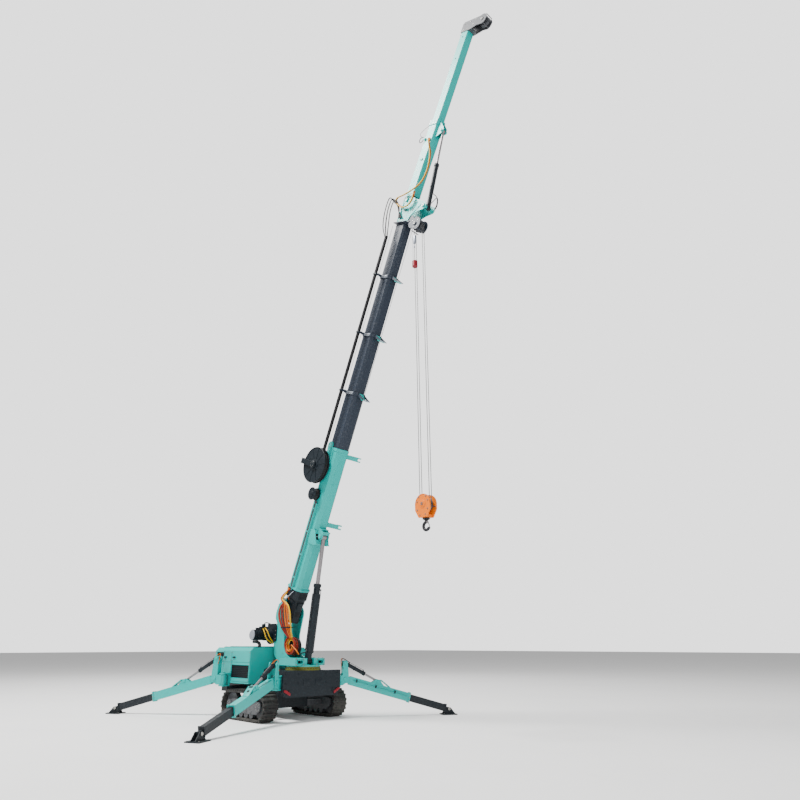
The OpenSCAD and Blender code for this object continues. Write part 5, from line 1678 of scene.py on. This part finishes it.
class BoomLines(Assembly):
    """Cables, wires and rope that run along the sliding sections, and the sections' collars."""

    def build(self) -> None:
        """Makes all pieces along the sections."""
        self.collars()
        self.lengthwise("hose_bundle", Paint.HOSE_BLACK, 0.0135, [(-0.235, 0.140), (-0.264, 0.140), (-0.235, 0.168), (-0.264, 0.168)],
                        2.93, 7.64)
        self.lengthwise("sensor_wire", Paint.GREY, 0.0035, [(-0.175, 0.150)], 3.42, 7.90)
        self.lengthwise("under_wire", Paint.ROPE, 0.0045, [(0.0, -0.285)], 3.28, 7.90)
        self.lengthwise("hoist_rope", Paint.ROPE, 0.0062, [(0.0, 0.232)], 0.34, 7.93)
        self.winch_lead()
        self.reel_lead()
        self.head_loops()

    def lengthwise(self, name: str, paint: Paint, radius: float, offsets: Sequence[tuple[float, float]], first: float,
                   last: float) -> None:
        """Runs straight lines along all sections, each stretch between two of them.

        Args:
            name: Stem of the pieces' names.
            paint: Their finish.
            radius: Radius of one line.
            offsets: Place across and height of each line.
            first: Station where they start, on the base section.
            last: Station where they end, on the last one.
        """
        boom = self.boom
        stops = [max(first, SECTIONS[0].end - 0.02)] + [s.end - 0.03 for s in SECTIONS[1:4]] + [last]
        if first < stops[0]:
            routes = [[boom.at(x, first, h), boom.at(x, (first + stops[0]) / 2, h), boom.at(x, stops[0], h)] for x, h in offsets]
            self.shop.hoses(f"{name}_0", "boom_1", paint, routes, radius, steps=3, sides=8)
        for k in range(4):
            start, end = stops[k], stops[k + 1]
            routes = [[boom.at(x, start + (end - start) * t / 4, h) for t in range(5)] for x, h in offsets]
            self.shop.spanning(f"{name}_{k + 1}", (f"boom_{k + 1}", f"boom_{k + 2}"), paint, routes, radius, boom.at(0, start, 0),
                               boom.at(0, end, 0), steps=4, sides=8)

    def winch_lead(self) -> None:
        """Hoist rope from the drum to the boom's upper side."""
        boom = self.boom
        start = Column.DRUM + Vector((0, -0.117, 0.0))
        end = boom.at(0, 0.34, 0.232)
        middle = (start + end) / 2 + Vector((0, 0.012, 0))
        self.shop.spanning("winch_lead", ("column", "boom_1"), Paint.ROPE, [[start, middle, end]], 0.0062, start, end, steps=12)

    def reel_lead(self) -> None:
        """Hoses from the reel's core to the bundle."""
        boom = self.boom
        routes = []
        for k, (x, h) in enumerate(((-0.235, 0.140), (-0.264, 0.140), (-0.235, 0.168), (-0.264, 0.168))):
            routes.append([boom.at(-0.2315, 2.62 + 0.02 * k, 0.15), boom.at(-0.24, 2.76, 0.125), boom.at(x, 2.93, h)])
        self.shop.hoses("reel_lead", "boom_1", Paint.HOSE_BLACK, routes, 0.0125)

    def head_loops(self) -> None:
        """Slack hose loops beside the head."""
        boom = self.boom
        routes = []
        for k, (x, h) in enumerate(((-0.235, 0.140), (-0.264, 0.140), (-0.235, 0.168), (-0.264, 0.168))):
            lift = 0.045 * k
            routes.append([boom.at(x, 7.60, h), boom.at(x - 0.012, 7.86, 0.20 + lift), boom.at(x - 0.01, 8.20, 0.285 + lift),
                           boom.at(x + 0.02, 8.44 + 0.02 * k, 0.30 + lift), boom.at(x + 0.05, 8.40, 0.20 + lift * 0.5),
                           boom.at(-0.17, 8.20 + 0.03 * k, 0.10 + 0.01 * k), boom.at(-0.150, 8.06, 0.03 * k - 0.02)])
        self.shop.hoses("head_loops", "boom_5", Paint.HOSE_BLACK, routes, 0.0105)

    def collars(self) -> None:
        """Bolts, pads, liners and cable clamps of each collar."""
        boom = self.boom
        turn = boom.place
        for section in SECTIONS[1:4]:
            half_w, half_h, end = section.width / 2 + 0.016, section.depth / 2 + 0.016, section.end
            guide = section.width / 4

            with self.shop.part(f"{section.body}_pads", section.body, Paint.PALE_STEEL, bevel=0.003) as part:
                for side in (-1, 1):
                    low, high = sorted((side * half_w, side * (half_w + 0.008)))
                    part.box((low, -0.05, end - 0.062), (high, 0.05, end - 0.012), turn)
                    outline = [boom.at(side * (half_w + 0.0005), end - 0.064, half_h - 0.03), boom.at(side * (half_w + 0.0005), end - 0.006, half_h + 0.0),
                               boom.at(side * (half_w + 0.0005), end - 0.006, -half_h + 0.07),
                               boom.at(side * (half_w + 0.0005), end - 0.064, -half_h + 0.10)]
                    part.prism(outline, Vector((side * 0.004, 0, 0)))
                part.box((-0.07, half_h, end - 0.060), (0.07, half_h + 0.008, end - 0.014), turn)

            with self.shop.part(f"{section.body}_guide_liner", section.body, Paint.TEAL) as part:
                outline = []
                for t in range(7):
                    u = t / 6
                    outline.append((half_h + 0.004 + 0.214 * u, end - 0.010 - 0.112 * u ** 1.0 - 0.05 * math.sin(math.pi * u)))
                back = [(n, s - 0.006) for n, s in reversed(outline)]
                points = [boom.at(-guide + 0.006, s, -n) for n, s in outline + back]
                part.prism(points, Vector((2 * guide - 0.012, 0, 0)))

            with self.shop.part(f"{section.body}_guide_lip", section.body, Paint.PALE_STEEL, smooth=60) as part:
                part.tube([boom.at(-guide - 0.012, end - 0.124, -half_h - 0.226), boom.at(guide + 0.012, end - 0.124, -half_h - 0.226)],
                         0.010, 14)
            places = []
            for side in (-1, 1):
                out = X * side
                places += [(boom.at(side * (half_w + 0.008), end - 0.037, h), out) for h in (-0.035, 0.0, 0.035)]
                places += [(boom.at(side * (half_w + 0.0045), end - 0.035, half_h - 0.05), out)]
            places += [(boom.at(x, end - 0.037, half_h + 0.008), boom.up) for x in (-0.05, 0.0, 0.05)]
            self.shop.bolt(f"{section.body}_collar_bolts", section.body, places, 0.0065)

            with self.shop.part(f"{section.body}_hose_clamp", section.body, Paint.BLACK, bevel=0.004) as part:
                part.box((-0.284, half_h - 0.056, end - 0.050), (-0.215, 0.190, end - 0.014), turn)


class Head(Assembly):
    """Boom head, knuckle, jib cylinder and jib."""

    END = 7.960

    def build(self) -> None:
        """Makes all pieces of the head and the jib."""
        self.head()
        self.knuckle()
        self.jib_cylinder()
        self.jib_hoses()
        self.jib_trim()
        self.jib_nose()

    def head(self) -> None:
        """Bolts, plate and rope guard of the head."""
        boom = self.boom
        end = self.END
        turn = boom.place

        with self.shop.part("head_plates", "boom_5", Paint.SLATE, bevel=0.004) as part:
            part.box((-0.165, -0.20, end + 0.002), (-0.124, 0.175, end + 0.020), turn)
            part.box((0.124, -0.15, end + 0.002), (0.150, 0.165, end + 0.020), turn)
            part.box((-0.05, 0.165, end - 0.03), (-0.036, 0.222, end + 0.02), turn)
            part.box((0.036, 0.165, end - 0.03), (0.05, 0.222, end + 0.02), turn)
            for s, n in ((end - 0.185, 0.385), (end + 0.01, 0.575), (end - 0.16, 0.56)):
                part.tube([boom.at(-0.097, s, -n), boom.at(0.097, s, -n)], 0.009, 12)
        with self.shop.part("top_sheave", "boom_5", Paint.GREY) as part:
            part.turned(((0.034, 0), (0.034, 0.006), (0.024, 0.016), (0.024, 0.052), (0.034, 0.062), (0.034, 0.068)),
                        boom.at(-0.034, end - 0.005, 0.192), X)
        bolts = []
        for sign in (-1, 1):
            out = X * sign
            bolts += [(boom.at(sign * 0.1122, end + s, -n), out) for s, n in ((-0.03, 0.30), (-0.12, 0.42), (0.02, 0.36), (-0.10, 0.52), (0.03, 0.50))]
            bolts += ring_places(boom.at(sign * 0.132, end - 0.05, -0.45), out, 0.018, 5)
        bolts += [(boom.at(x, end, h), boom.along * -1) for x in (-0.116, 0.116) for h in (-0.10, 0.0, 0.10)]
        self.shop.bolt("head_bolts", "boom_5", bolts, 0.0065)

        with self.shop.part("head_pin_heads", "boom_5", Paint.SLATE) as part:
            for sign in (-1, 1):
                part.turned(((0.038, -0.019), (0.038, -0.003), (0.030, 0.0), (0.001, 0.0)), boom.at(sign * 0.132, end - 0.05, -0.45),
                           X * sign, 28)

    def knuckle(self) -> None:
        """Pin covers, stiffeners, and painted shade in the holes of the knuckle's cheeks."""
        boom = self.boom
        bolts = []

        with self.shop.part("knuckle_covers", "boom_5", Paint.TEAL) as part:
            for sign in (-1, 1):
                out = X * sign
                for station, height, radius in ((self.END + 0.5, 0.0, 0.045), (self.END + 0.3, -0.574, 0.040)):
                    centre = boom.at(sign * 0.142, station, height)
                    part.turned(((radius, -0.016), (radius, 0.004), (radius - 0.006, 0.009), (0.001, 0.010)), centre, out, 32)
                    bolts.extend(ring_places(centre + out * 0.009, out, radius - 0.016, 5))
                for a, b in (((8.06, 0.10), (8.40, 0.06)), ((8.10, -0.28), (8.30, -0.50)), ((8.42, -0.16), (8.36, -0.36))):
                    start = boom.at(sign * 0.1265, a[0], a[1])
                    stop = boom.at(sign * 0.1265, b[0], b[1])
                    part.tube([start, stop], 0.009, 8)
        for sign in (-1, 1):
            bolts += [(boom.at(sign * 0.1265, s, h), X * sign) for s, h in
                      ((8.03, 0.06), (8.03, -0.03), (8.04, -0.12), (8.33, -0.20), (8.20, -0.42), (8.36, -0.30))]
        self.shop.bolt("knuckle_bolts", "boom_5", bolts, 0.0085)

        # Painted shade in the cheeks' holes, as flat discs of darker teal
        with self.shop.part("knuckle_hole_shade", "boom_5", Paint.SHADED_TEAL) as part:
            for sign in (-1, 1):
                for s, h, radius in ((8.24, -0.06, 0.052), (8.22, -0.28, 0.038)):
                    part.turned(((radius, -0.001), (radius, 0.001), (0.001, 0.001)), boom.at(sign * 0.1265, s, h), X * sign, 32)

    def jib_cylinder(self) -> None:
        """Gland, clamp and pipes of the jib cylinder."""
        crane = self.shop.crane
        foot = crane.pivot("jib_barrel_tilt")
        along = crane.heading("jib_rod_slide")
        front = X.cross(along).normalized()
        if front.y > 0:
            front = -front

        with self.shop.part("jib_barrel_rings", "jib_barrel", Paint.BLACK) as part:
            for station, radius, length in ((0.06, 0.047, 0.022), (0.45, 0.046, 0.018), (0.905, 0.0515, 0.045)):
                part.band(foot + along * station, along, 0.042, radius, length)
            for station in (0.09, 0.30, 0.86):
                part.turned(((0.012, 0.036), (0.012, 0.062), (0.008, 0.066), (0.001, 0.066)), foot + along * station, front, 12)
        pipe = [foot + along * 0.30 + front * 0.058, foot + along * 0.36 + front * 0.060, foot + along * 0.80 + front * 0.060,
                foot + along * 0.86 + front * 0.058]
        self.shop.hoses("jib_barrel_pipe", "jib_barrel", Paint.FORGED, [pipe], 0.006, steps=5)
        base = foot + Vector((0.155, 0.02, 0.02))
        routes = []
        for k in range(2):
            shift = Vector((0.016 * k, 0, 0))
            routes.append([base + shift, foot + Vector((0.15, -0.09, 0.10)) + shift, foot + along * 0.22 + front * 0.13 + Vector((0.06, 0, 0)) + shift * 0.5,
                           foot + along * (0.30 - 0.21 * k) + front * 0.062])
        start, end = base, foot + along * 0.2 + front * 0.07
        self.shop.spanning("jib_cylinder_hoses", ("boom_5", "jib_barrel"), Paint.HOSE_BLACK, routes, 0.008, start, end, steps=10)

    def jib_hoses(self) -> None:
        """Hose loop from the knuckle up to the jib."""
        boom, jib = self.boom, self.jib
        loop = ((8.552, -0.215), (8.430, -0.225), (8.318, -0.155), (8.285, 0.004), (8.385, 0.205), (8.470, 0.285), (8.530, 0.255))
        rise = ((8.530, 0.255), (8.575, 0.040), (8.650, -0.175), (8.748, -0.335), (8.886, -0.415), (9.097, -0.435), (9.370, -0.375),
                (9.593, -0.254), (9.790, -0.075))
        for k, paint in enumerate((Paint.HOSE_ORANGE, Paint.HOSE_RED, Paint.HOSE_YELLOW)):
            x = -0.166 - 0.018 * k
            low = [boom.at(x, s - 0.012 * k, h - 0.010 * k) for s, h in loop]
            low[0] = boom.at(-0.150, 8.60, -0.21 + 0.02 * k)
            self.shop.hoses(f"knuckle_loop_{k}", "boom_5", paint, [low], 0.0105, steps=8, sides=12)
            high = [boom.at(x, s - 0.012 * k, h - 0.010 * k) for s, h in rise]
            high[-1] = jib.at(-0.113, 1.325, -0.055 + 0.024 * k)
            self.shop.spanning(f"jib_loop_{k}", ("boom_5", "jib_1"), paint, [high], 0.0105, high[0], high[-1], steps=8, sides=12)

    def jib_trim(self) -> None:
        """Ring, whip, clamps, bolts and pin heads of the jib."""
        jib = self.jib

        with self.shop.part("jib_ring", "jib_1", Paint.FORGED, smooth=60) as part:
            centre = jib.at(-0.125, 1.312, 0.185)
            part.tube(arc_points(centre, jib.along, jib.up, 0.058, 0, 360, 33), 0.008, 10)
            part.tube(smooth_path([jib.at(-0.12, 1.34, 0.13), jib.at(-0.14, 1.42, 0.26), jib.at(-0.12, 1.52, 0.24), jib.at(-0.10, 1.62, 0.13)], 8), 0.004, 8)
        turn = jib.place

        with self.shop.part("jib_clamps", "jib_1", Paint.TEAL, bevel=0.003) as part:
            part.box((-0.135, 0.075, 1.305), (-0.099, 0.125, 1.345), turn)
            part.box((-0.118, -0.03, 0.86), (-0.099, 0.03, 0.90), turn)
            for side in (-1, 1):
                low, high = sorted((side * 0.0995, side * 0.106))
                part.box((low, -0.10, 0.135), (high, 0.09, 0.155), turn)
        places = []
        for side in (-1, 1):
            out = X * side
            places += [(jib.at(side * 0.112, s, h), out) for s in (1.655, 1.715) for h in (-0.09, 0.0, 0.09)]
            places += [(jib.at(side * 0.1, 0.652, 0.05), out), (jib.at(side * 0.1, 0.985, 0.067), out)]
        places += [(jib.at(x, s, 0.132), jib.up) for x in (-0.07, 0.07) for s in (1.655, 1.715)]
        self.shop.bolt("jib_bolts", "jib_1", places, 0.0085)

        with self.shop.part("jib_rod_pin_heads", "jib_1", Paint.TEAL) as part:
            for sign in (-1, 1):
                part.turned(((0.030, -0.003), (0.030, 0.004), (0.025, 0.008), (0.001, 0.008)), jib.at(sign * 0.072, 1.490, -0.268),
                           X * sign, 28)

        with self.shop.part("jib_eyelets", "jib_2", Paint.PALE_STEEL, smooth=60) as part:
            for s in (2.96, 3.60):
                centre = jib.at(-0.08, s, 0.055)
                part.tube(arc_points(centre + jib.up * 0.03, jib.along, jib.up, 0.022, -90, 180, 14), 0.005, 8)

    def jib_nose(self) -> None:
        """Bolts, guards and plates of the jib's head."""
        jib = self.jib
        tip = 3.80
        bolts = []
        for side in (-1, 1):
            out = X * side
            bolts += [(jib.at(side * 0.0962, tip + s, h), out) for s, h in
                      ((-0.11, 0.05), (-0.11, -0.06), (0.02, 0.05), (0.03, -0.10), (-0.06, -0.20), (0.03, -0.26))]
            bolts += ring_places(jib.at(side * 0.104, tip - 0.02, -0.43), out, 0.015, 5)
        self.shop.bolt("jib_head_bolts", "jib_2", bolts, 0.008)

        with self.shop.part("jib_head_guards", "jib_2", Paint.GREY) as part:
            for s, n in ((0.075, 0.505), (-0.12, 0.50), (-0.02, 0.553)):
                part.tube([jib.at(-0.084, tip + s, -n), jib.at(0.084, tip + s, -n)], 0.008, 12)
            for side in (-1, 1):
                part.turned(((0.034, -0.006), (0.034, 0.001), (0.028, 0.004), (0.001, 0.004)), jib.at(side * 0.104, tip - 0.02, -0.43),
                           X * side, 28)


# Hoist


class Hoist(Assembly):
    """Ropes, socket, hook block and hook."""

    SPREAD = 0.1055
    LAY = 0.095

    def build(self) -> None:
        """Makes all pieces of the hoist."""
        self.pin = self.shop.crane.pivot("hook_plumb")
        self.block = Vector((0, self.pin.y, 3.32))
        self.falls()
        self.wraps()
        self.dead_end()
        self.block_trim()
        self.latch()

    def strand(self, part: Shape, x: float, y: float, low: float, high: float) -> None:
        """Adds one fall, a six-lobed twisted rope.

        Args:
            part: The shape to add to.
            x: Its place across.
            y: Its place along.
            low: Its lower end.
            high: Its upper end.
        """
        rows = max(int((high - low) / self.LAY * 8), 2)
        rings = []
        for i in range(rows + 1):
            z = low + (high - low) * i / rows
            turn = 2 * math.pi * (z - low) / self.LAY
            angles = [turn + math.pi * k / 6 for k in range(12)]
            radii = [0.0065 if k % 2 else 0.0053 for k in range(12)]
            rings.append([part.bm.verts.new((x + r * math.cos(a), y + r * math.sin(a), z)) for a, r in zip(angles, radii)])
        part.skin(rings)

    def falls(self) -> None:
        """Falls of the hoist rope, stretched between the head and the block."""
        shape = Shape()
        low, high = self.block.z + 0.002, self.pin.z - 0.002
        for x in (-0.026, 0.026):
            for side in (-1, 1):
                self.strand(shape, x, self.pin.y + side * self.SPREAD, low, high)
        piece = shape.piece("falls", self.shop.finishes.get(Paint.ROPE), smooth=60.0)
        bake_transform(piece)
        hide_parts("rope_falls")

    def wraps(self) -> None:
        """Rope over the head sheaves and under the block's."""
        back, up = Y, Z
        for name, body, centre, start, end in (("head_wraps", "boom_5", self.pin, 2, 178), ("block_wraps", "hook", self.block, 182, 358)):
            routes = [arc_points(centre + Vector((x, 0, 0)), back, up, self.SPREAD, start, end, 16) for x in (-0.026, 0.026)]
            self.shop.hoses(name, body, Paint.ROPE, routes, 0.0062, steps=2, sides=10)

    def dead_end(self) -> None:
        """Wedge socket under the head, and the red trip weight on its rope."""
        x, y = -0.026, self.pin.y + self.SPREAD
        top = self.pin.z - 0.17

        with self.shop.part("wedge_socket", "falls", Paint.PALE_STEEL, bevel=0.004) as part:
            outline = [Vector((x - 0.02, y - 0.028, top - 0.02)), Vector((x - 0.02, y + 0.028, top - 0.02)), Vector((x - 0.02, y + 0.036, top - 0.10)),
                       Vector((x - 0.02, y + 0.016, top - 0.21)), Vector((x - 0.02, y - 0.016, top - 0.21)), Vector((x - 0.02, y - 0.036, top - 0.10))]
            part.prism(outline, Vector((0.04, 0, 0)))
            part.turned(((0.013, 0), (0.013, 0.045)), Vector((x, y, top - 0.30)), Z, 16)

        with self.shop.part("trip_weight", "falls", Paint.RED) as part:
            part.turned(((0.046, 0), (0.052, 0.006), (0.052, 0.124), (0.046, 0.13)), Vector((x, y, self.pin.z - 0.915)), Z, 32)
        chain = []
        for k in range(5):
            centre = Vector((x - 0.045, y, self.pin.z - 0.76 + 0.11 * k + 0.03))
            chain.append([centre + Vector((0, 0, -0.055)), centre, centre + Vector((0, 0, 0.055))])
        self.shop.hoses("trip_wire", "falls", Paint.FORGED, [[chain[0][0], chain[2][1], chain[4][2]]], 0.003, steps=4)

    def block_trim(self) -> None:
        """Cheek bolts, pin heads, guards and swivel of the hook block."""
        centre = self.block
        bolts = []
        for sign in (-1, 1):
            out = X * sign
            for dy, dz in ((-0.115, 0.045), (0.115, 0.045), (-0.075, 0.115), (0.075, 0.115), (-0.11, -0.09), (0.11, -0.09), (-0.06, -0.175), (0.06, -0.175)):
                bolts.append((centre + Vector((sign * 0.0842, dy, dz)), out))
            bolts += ring_places(centre + Vector((sign * 0.100, 0, 0)), out, 0.018, 4)
        self.shop.bolt("block_bolts", "hook", bolts, 0.0095)

        with self.shop.part("block_plates", "hook", Paint.ORANGE) as part:
            for sign in (-1, 1):
                out = X * sign
                part.turned(((0.066, -0.002), (0.066, 0.006), (0.058, 0.010), (0.034, 0.010), (0.030, 0.016), (0.001, 0.016)),
                           centre + Vector((sign * 0.084, 0, 0)), out, 40)
                rim = [centre + Vector((sign * 0.0845, 0.157 * math.cos(math.radians(a)), 0.157 * math.sin(math.radians(a)))) for a in range(0, 181, 6)]
                part.tube(rim, 0.006, 8)

        with self.shop.part("block_guards", "hook", Paint.FORGED, bevel=0.001) as part:
            for dy, dz in ((-0.145, -0.045), (0.145, -0.045), (0.0, 0.150)):
                part.tube([centre + Vector((-0.062, dy, dz)), centre + Vector((0.062, dy, dz))], 0.009, 12)
            part.turned(((0.060, 0.0), (0.060, 0.014), (0.052, 0.020), (0.028, 0.020)), centre + Vector((0, 0, -0.238)), Z, 36)

    def latch(self) -> None:
        """Safety latch of the hook."""
        top = Vector((0, self.block.y, self.block.z - 0.285))

        with self.shop.part("hook_latch", "hook", Paint.CHROME, smooth=60) as part:
            path = [top + Vector((0, -0.024, -0.004)), top + Vector((0, -0.052, -0.032)), top + Vector((0, -0.066, -0.062)),
                    top + Vector((0, -0.070, -0.084))]
            part.tube(smooth_path(path, 5), 0.0075, 10)
            part.turned(((0.013, -0.022), (0.013, 0.022)), top + Vector((0, -0.024, -0.002)), X, 20)


# Studio


@dataclass
class Studio:
    """The camera as the photograph has it, soft light and a pale floor.

    Args:
        place: Camera position in metres.
        pitch: Degrees above the horizon that it looks.
        heading: Degrees from +Y towards +X that it looks.
        lens: Focal length in millimetres on a 36 mm sensor.
        shift: Lens shift, as a share of the frame.
        sky: Strength of the light from all round.
        backdrop: What the camera sees of it on top of that.
    """

    place: Colour = (-7.03, -9.721, 1.213)
    pitch: float = 22.124
    heading: float = 43.1
    lens: float = 27.0
    shift: tuple[float, float] = (0.0172, 0.0017)
    sky: float = 0.55
    backdrop: float = 1.6

    def camera(self) -> None:
        """Makes the camera."""
        data = bpy.data.cameras.new("camera")
        data.sensor_width = 36.0
        data.lens = self.lens
        data.shift_x, data.shift_y = self.shift
        data.clip_end = 400.0
        camera = bpy.data.objects.new("camera", data)
        bpy.context.collection.objects.link(camera)
        camera.location = self.place
        camera.rotation_euler = (math.radians(90 + self.pitch), 0, math.radians(-self.heading))
        bpy.context.scene.camera = camera

    def light(self, name: str, place: Colour, aim: Colour, size: float, power: float, colour: Colour) -> None:
        """Adds one soft area light.

        Args:
            name: Its name.
            place: Where it is.
            aim: What it points at.
            size: Its side in metres.
            power: Its power in watts.
            colour: Its colour.
        """
        data = bpy.data.lights.new(name, "AREA")
        data.shape = "SQUARE"
        data.size = size
        data.energy = power
        data.color = colour
        lamp = bpy.data.objects.new(name, data)
        bpy.context.collection.objects.link(lamp)
        lamp.location = place
        direction = Vector(aim) - Vector(place)
        lamp.rotation_euler = direction.to_track_quat("-Z", "Y").to_euler()

    def lights(self) -> None:
        """Adds the sky and the studio lights."""
        world = bpy.data.worlds.new("studio")
        world.use_nodes = True
        sky = world.node_tree.nodes["Background"]
        sky.inputs["Color"].default_value = (1.0, 1.0, 1.0, 1)
        nodes = NodeTree(world.node_tree)
        seen = nodes.add("ShaderNodeLightPath").outputs["Is Camera Ray"]
        nodes.join(nodes.math("ADD", nodes.math("MULTIPLY", seen, self.backdrop), self.sky), sky.inputs["Strength"])
        bpy.context.scene.world = world
        self.light("key", (-8.0, 2.5, 20.0), (0, -1.5, 4.0), 6.0, 8200.0, (1.0, 0.99, 0.97))
        self.light("fill", (-6.0, -17.0, 9.0), (0, -1.5, 4.0), 10.0, 900.0, (0.95, 0.98, 1.0))
        self.light("back", (9.0, 12.0, 12.0), (0, 0, 4.0), 8.0, 900.0, (1.0, 1.0, 1.0))

    def floor(self) -> None:
        """Adds the pale floor."""
        bm = bmesh.new()
        bmesh.ops.create_grid(bm, x_segments=2, y_segments=2, size=120.0)
        mesh = bpy.data.meshes.new("floor")
        bm.to_mesh(mesh)
        bm.free()
        material = bpy.data.materials.new("pale_floor")
        material.use_nodes = True
        nodes = NodeTree(material.node_tree)
        shader = material.node_tree.nodes["Principled BSDF"]
        tone = nodes.ramp(nodes.noise(0.6, 3.0), 0.2, 0.8)
        nodes.join(nodes.mix(tone, (0.90, 0.90, 0.90), (0.93, 0.93, 0.93)), shader.inputs["Base Color"])
        shader.inputs["Roughness"].default_value = 0.85
        piece = new_piece("floor", mesh, material)
        piece.location.z = -0.001

    def build(self) -> None:
        """Makes the whole studio."""
        self.camera()
        self.lights()
        self.floor()


def main() -> None:
    """Builds the looks of the crane around its frame."""
    logging.basicConfig(level=logging.INFO, format="%(message)s")
    crane = Crane(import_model())
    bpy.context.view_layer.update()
    Studio().build()
    shop = Workshop(crane, Finishes(), BoltPattern())
    Dressing(shop).paint_nodes()
    legs = [Leg(shop, name) for name in ("leg_fr", "leg_fl", "leg_rr", "leg_rl")]
    for assembly in (Crawler(shop), Housing(shop), *legs, Column(shop), BoomBase(shop), BoomLines(shop), Head(shop), Hoist(shop)):
        assembly.build()


if __name__ == "__main__":
    main()
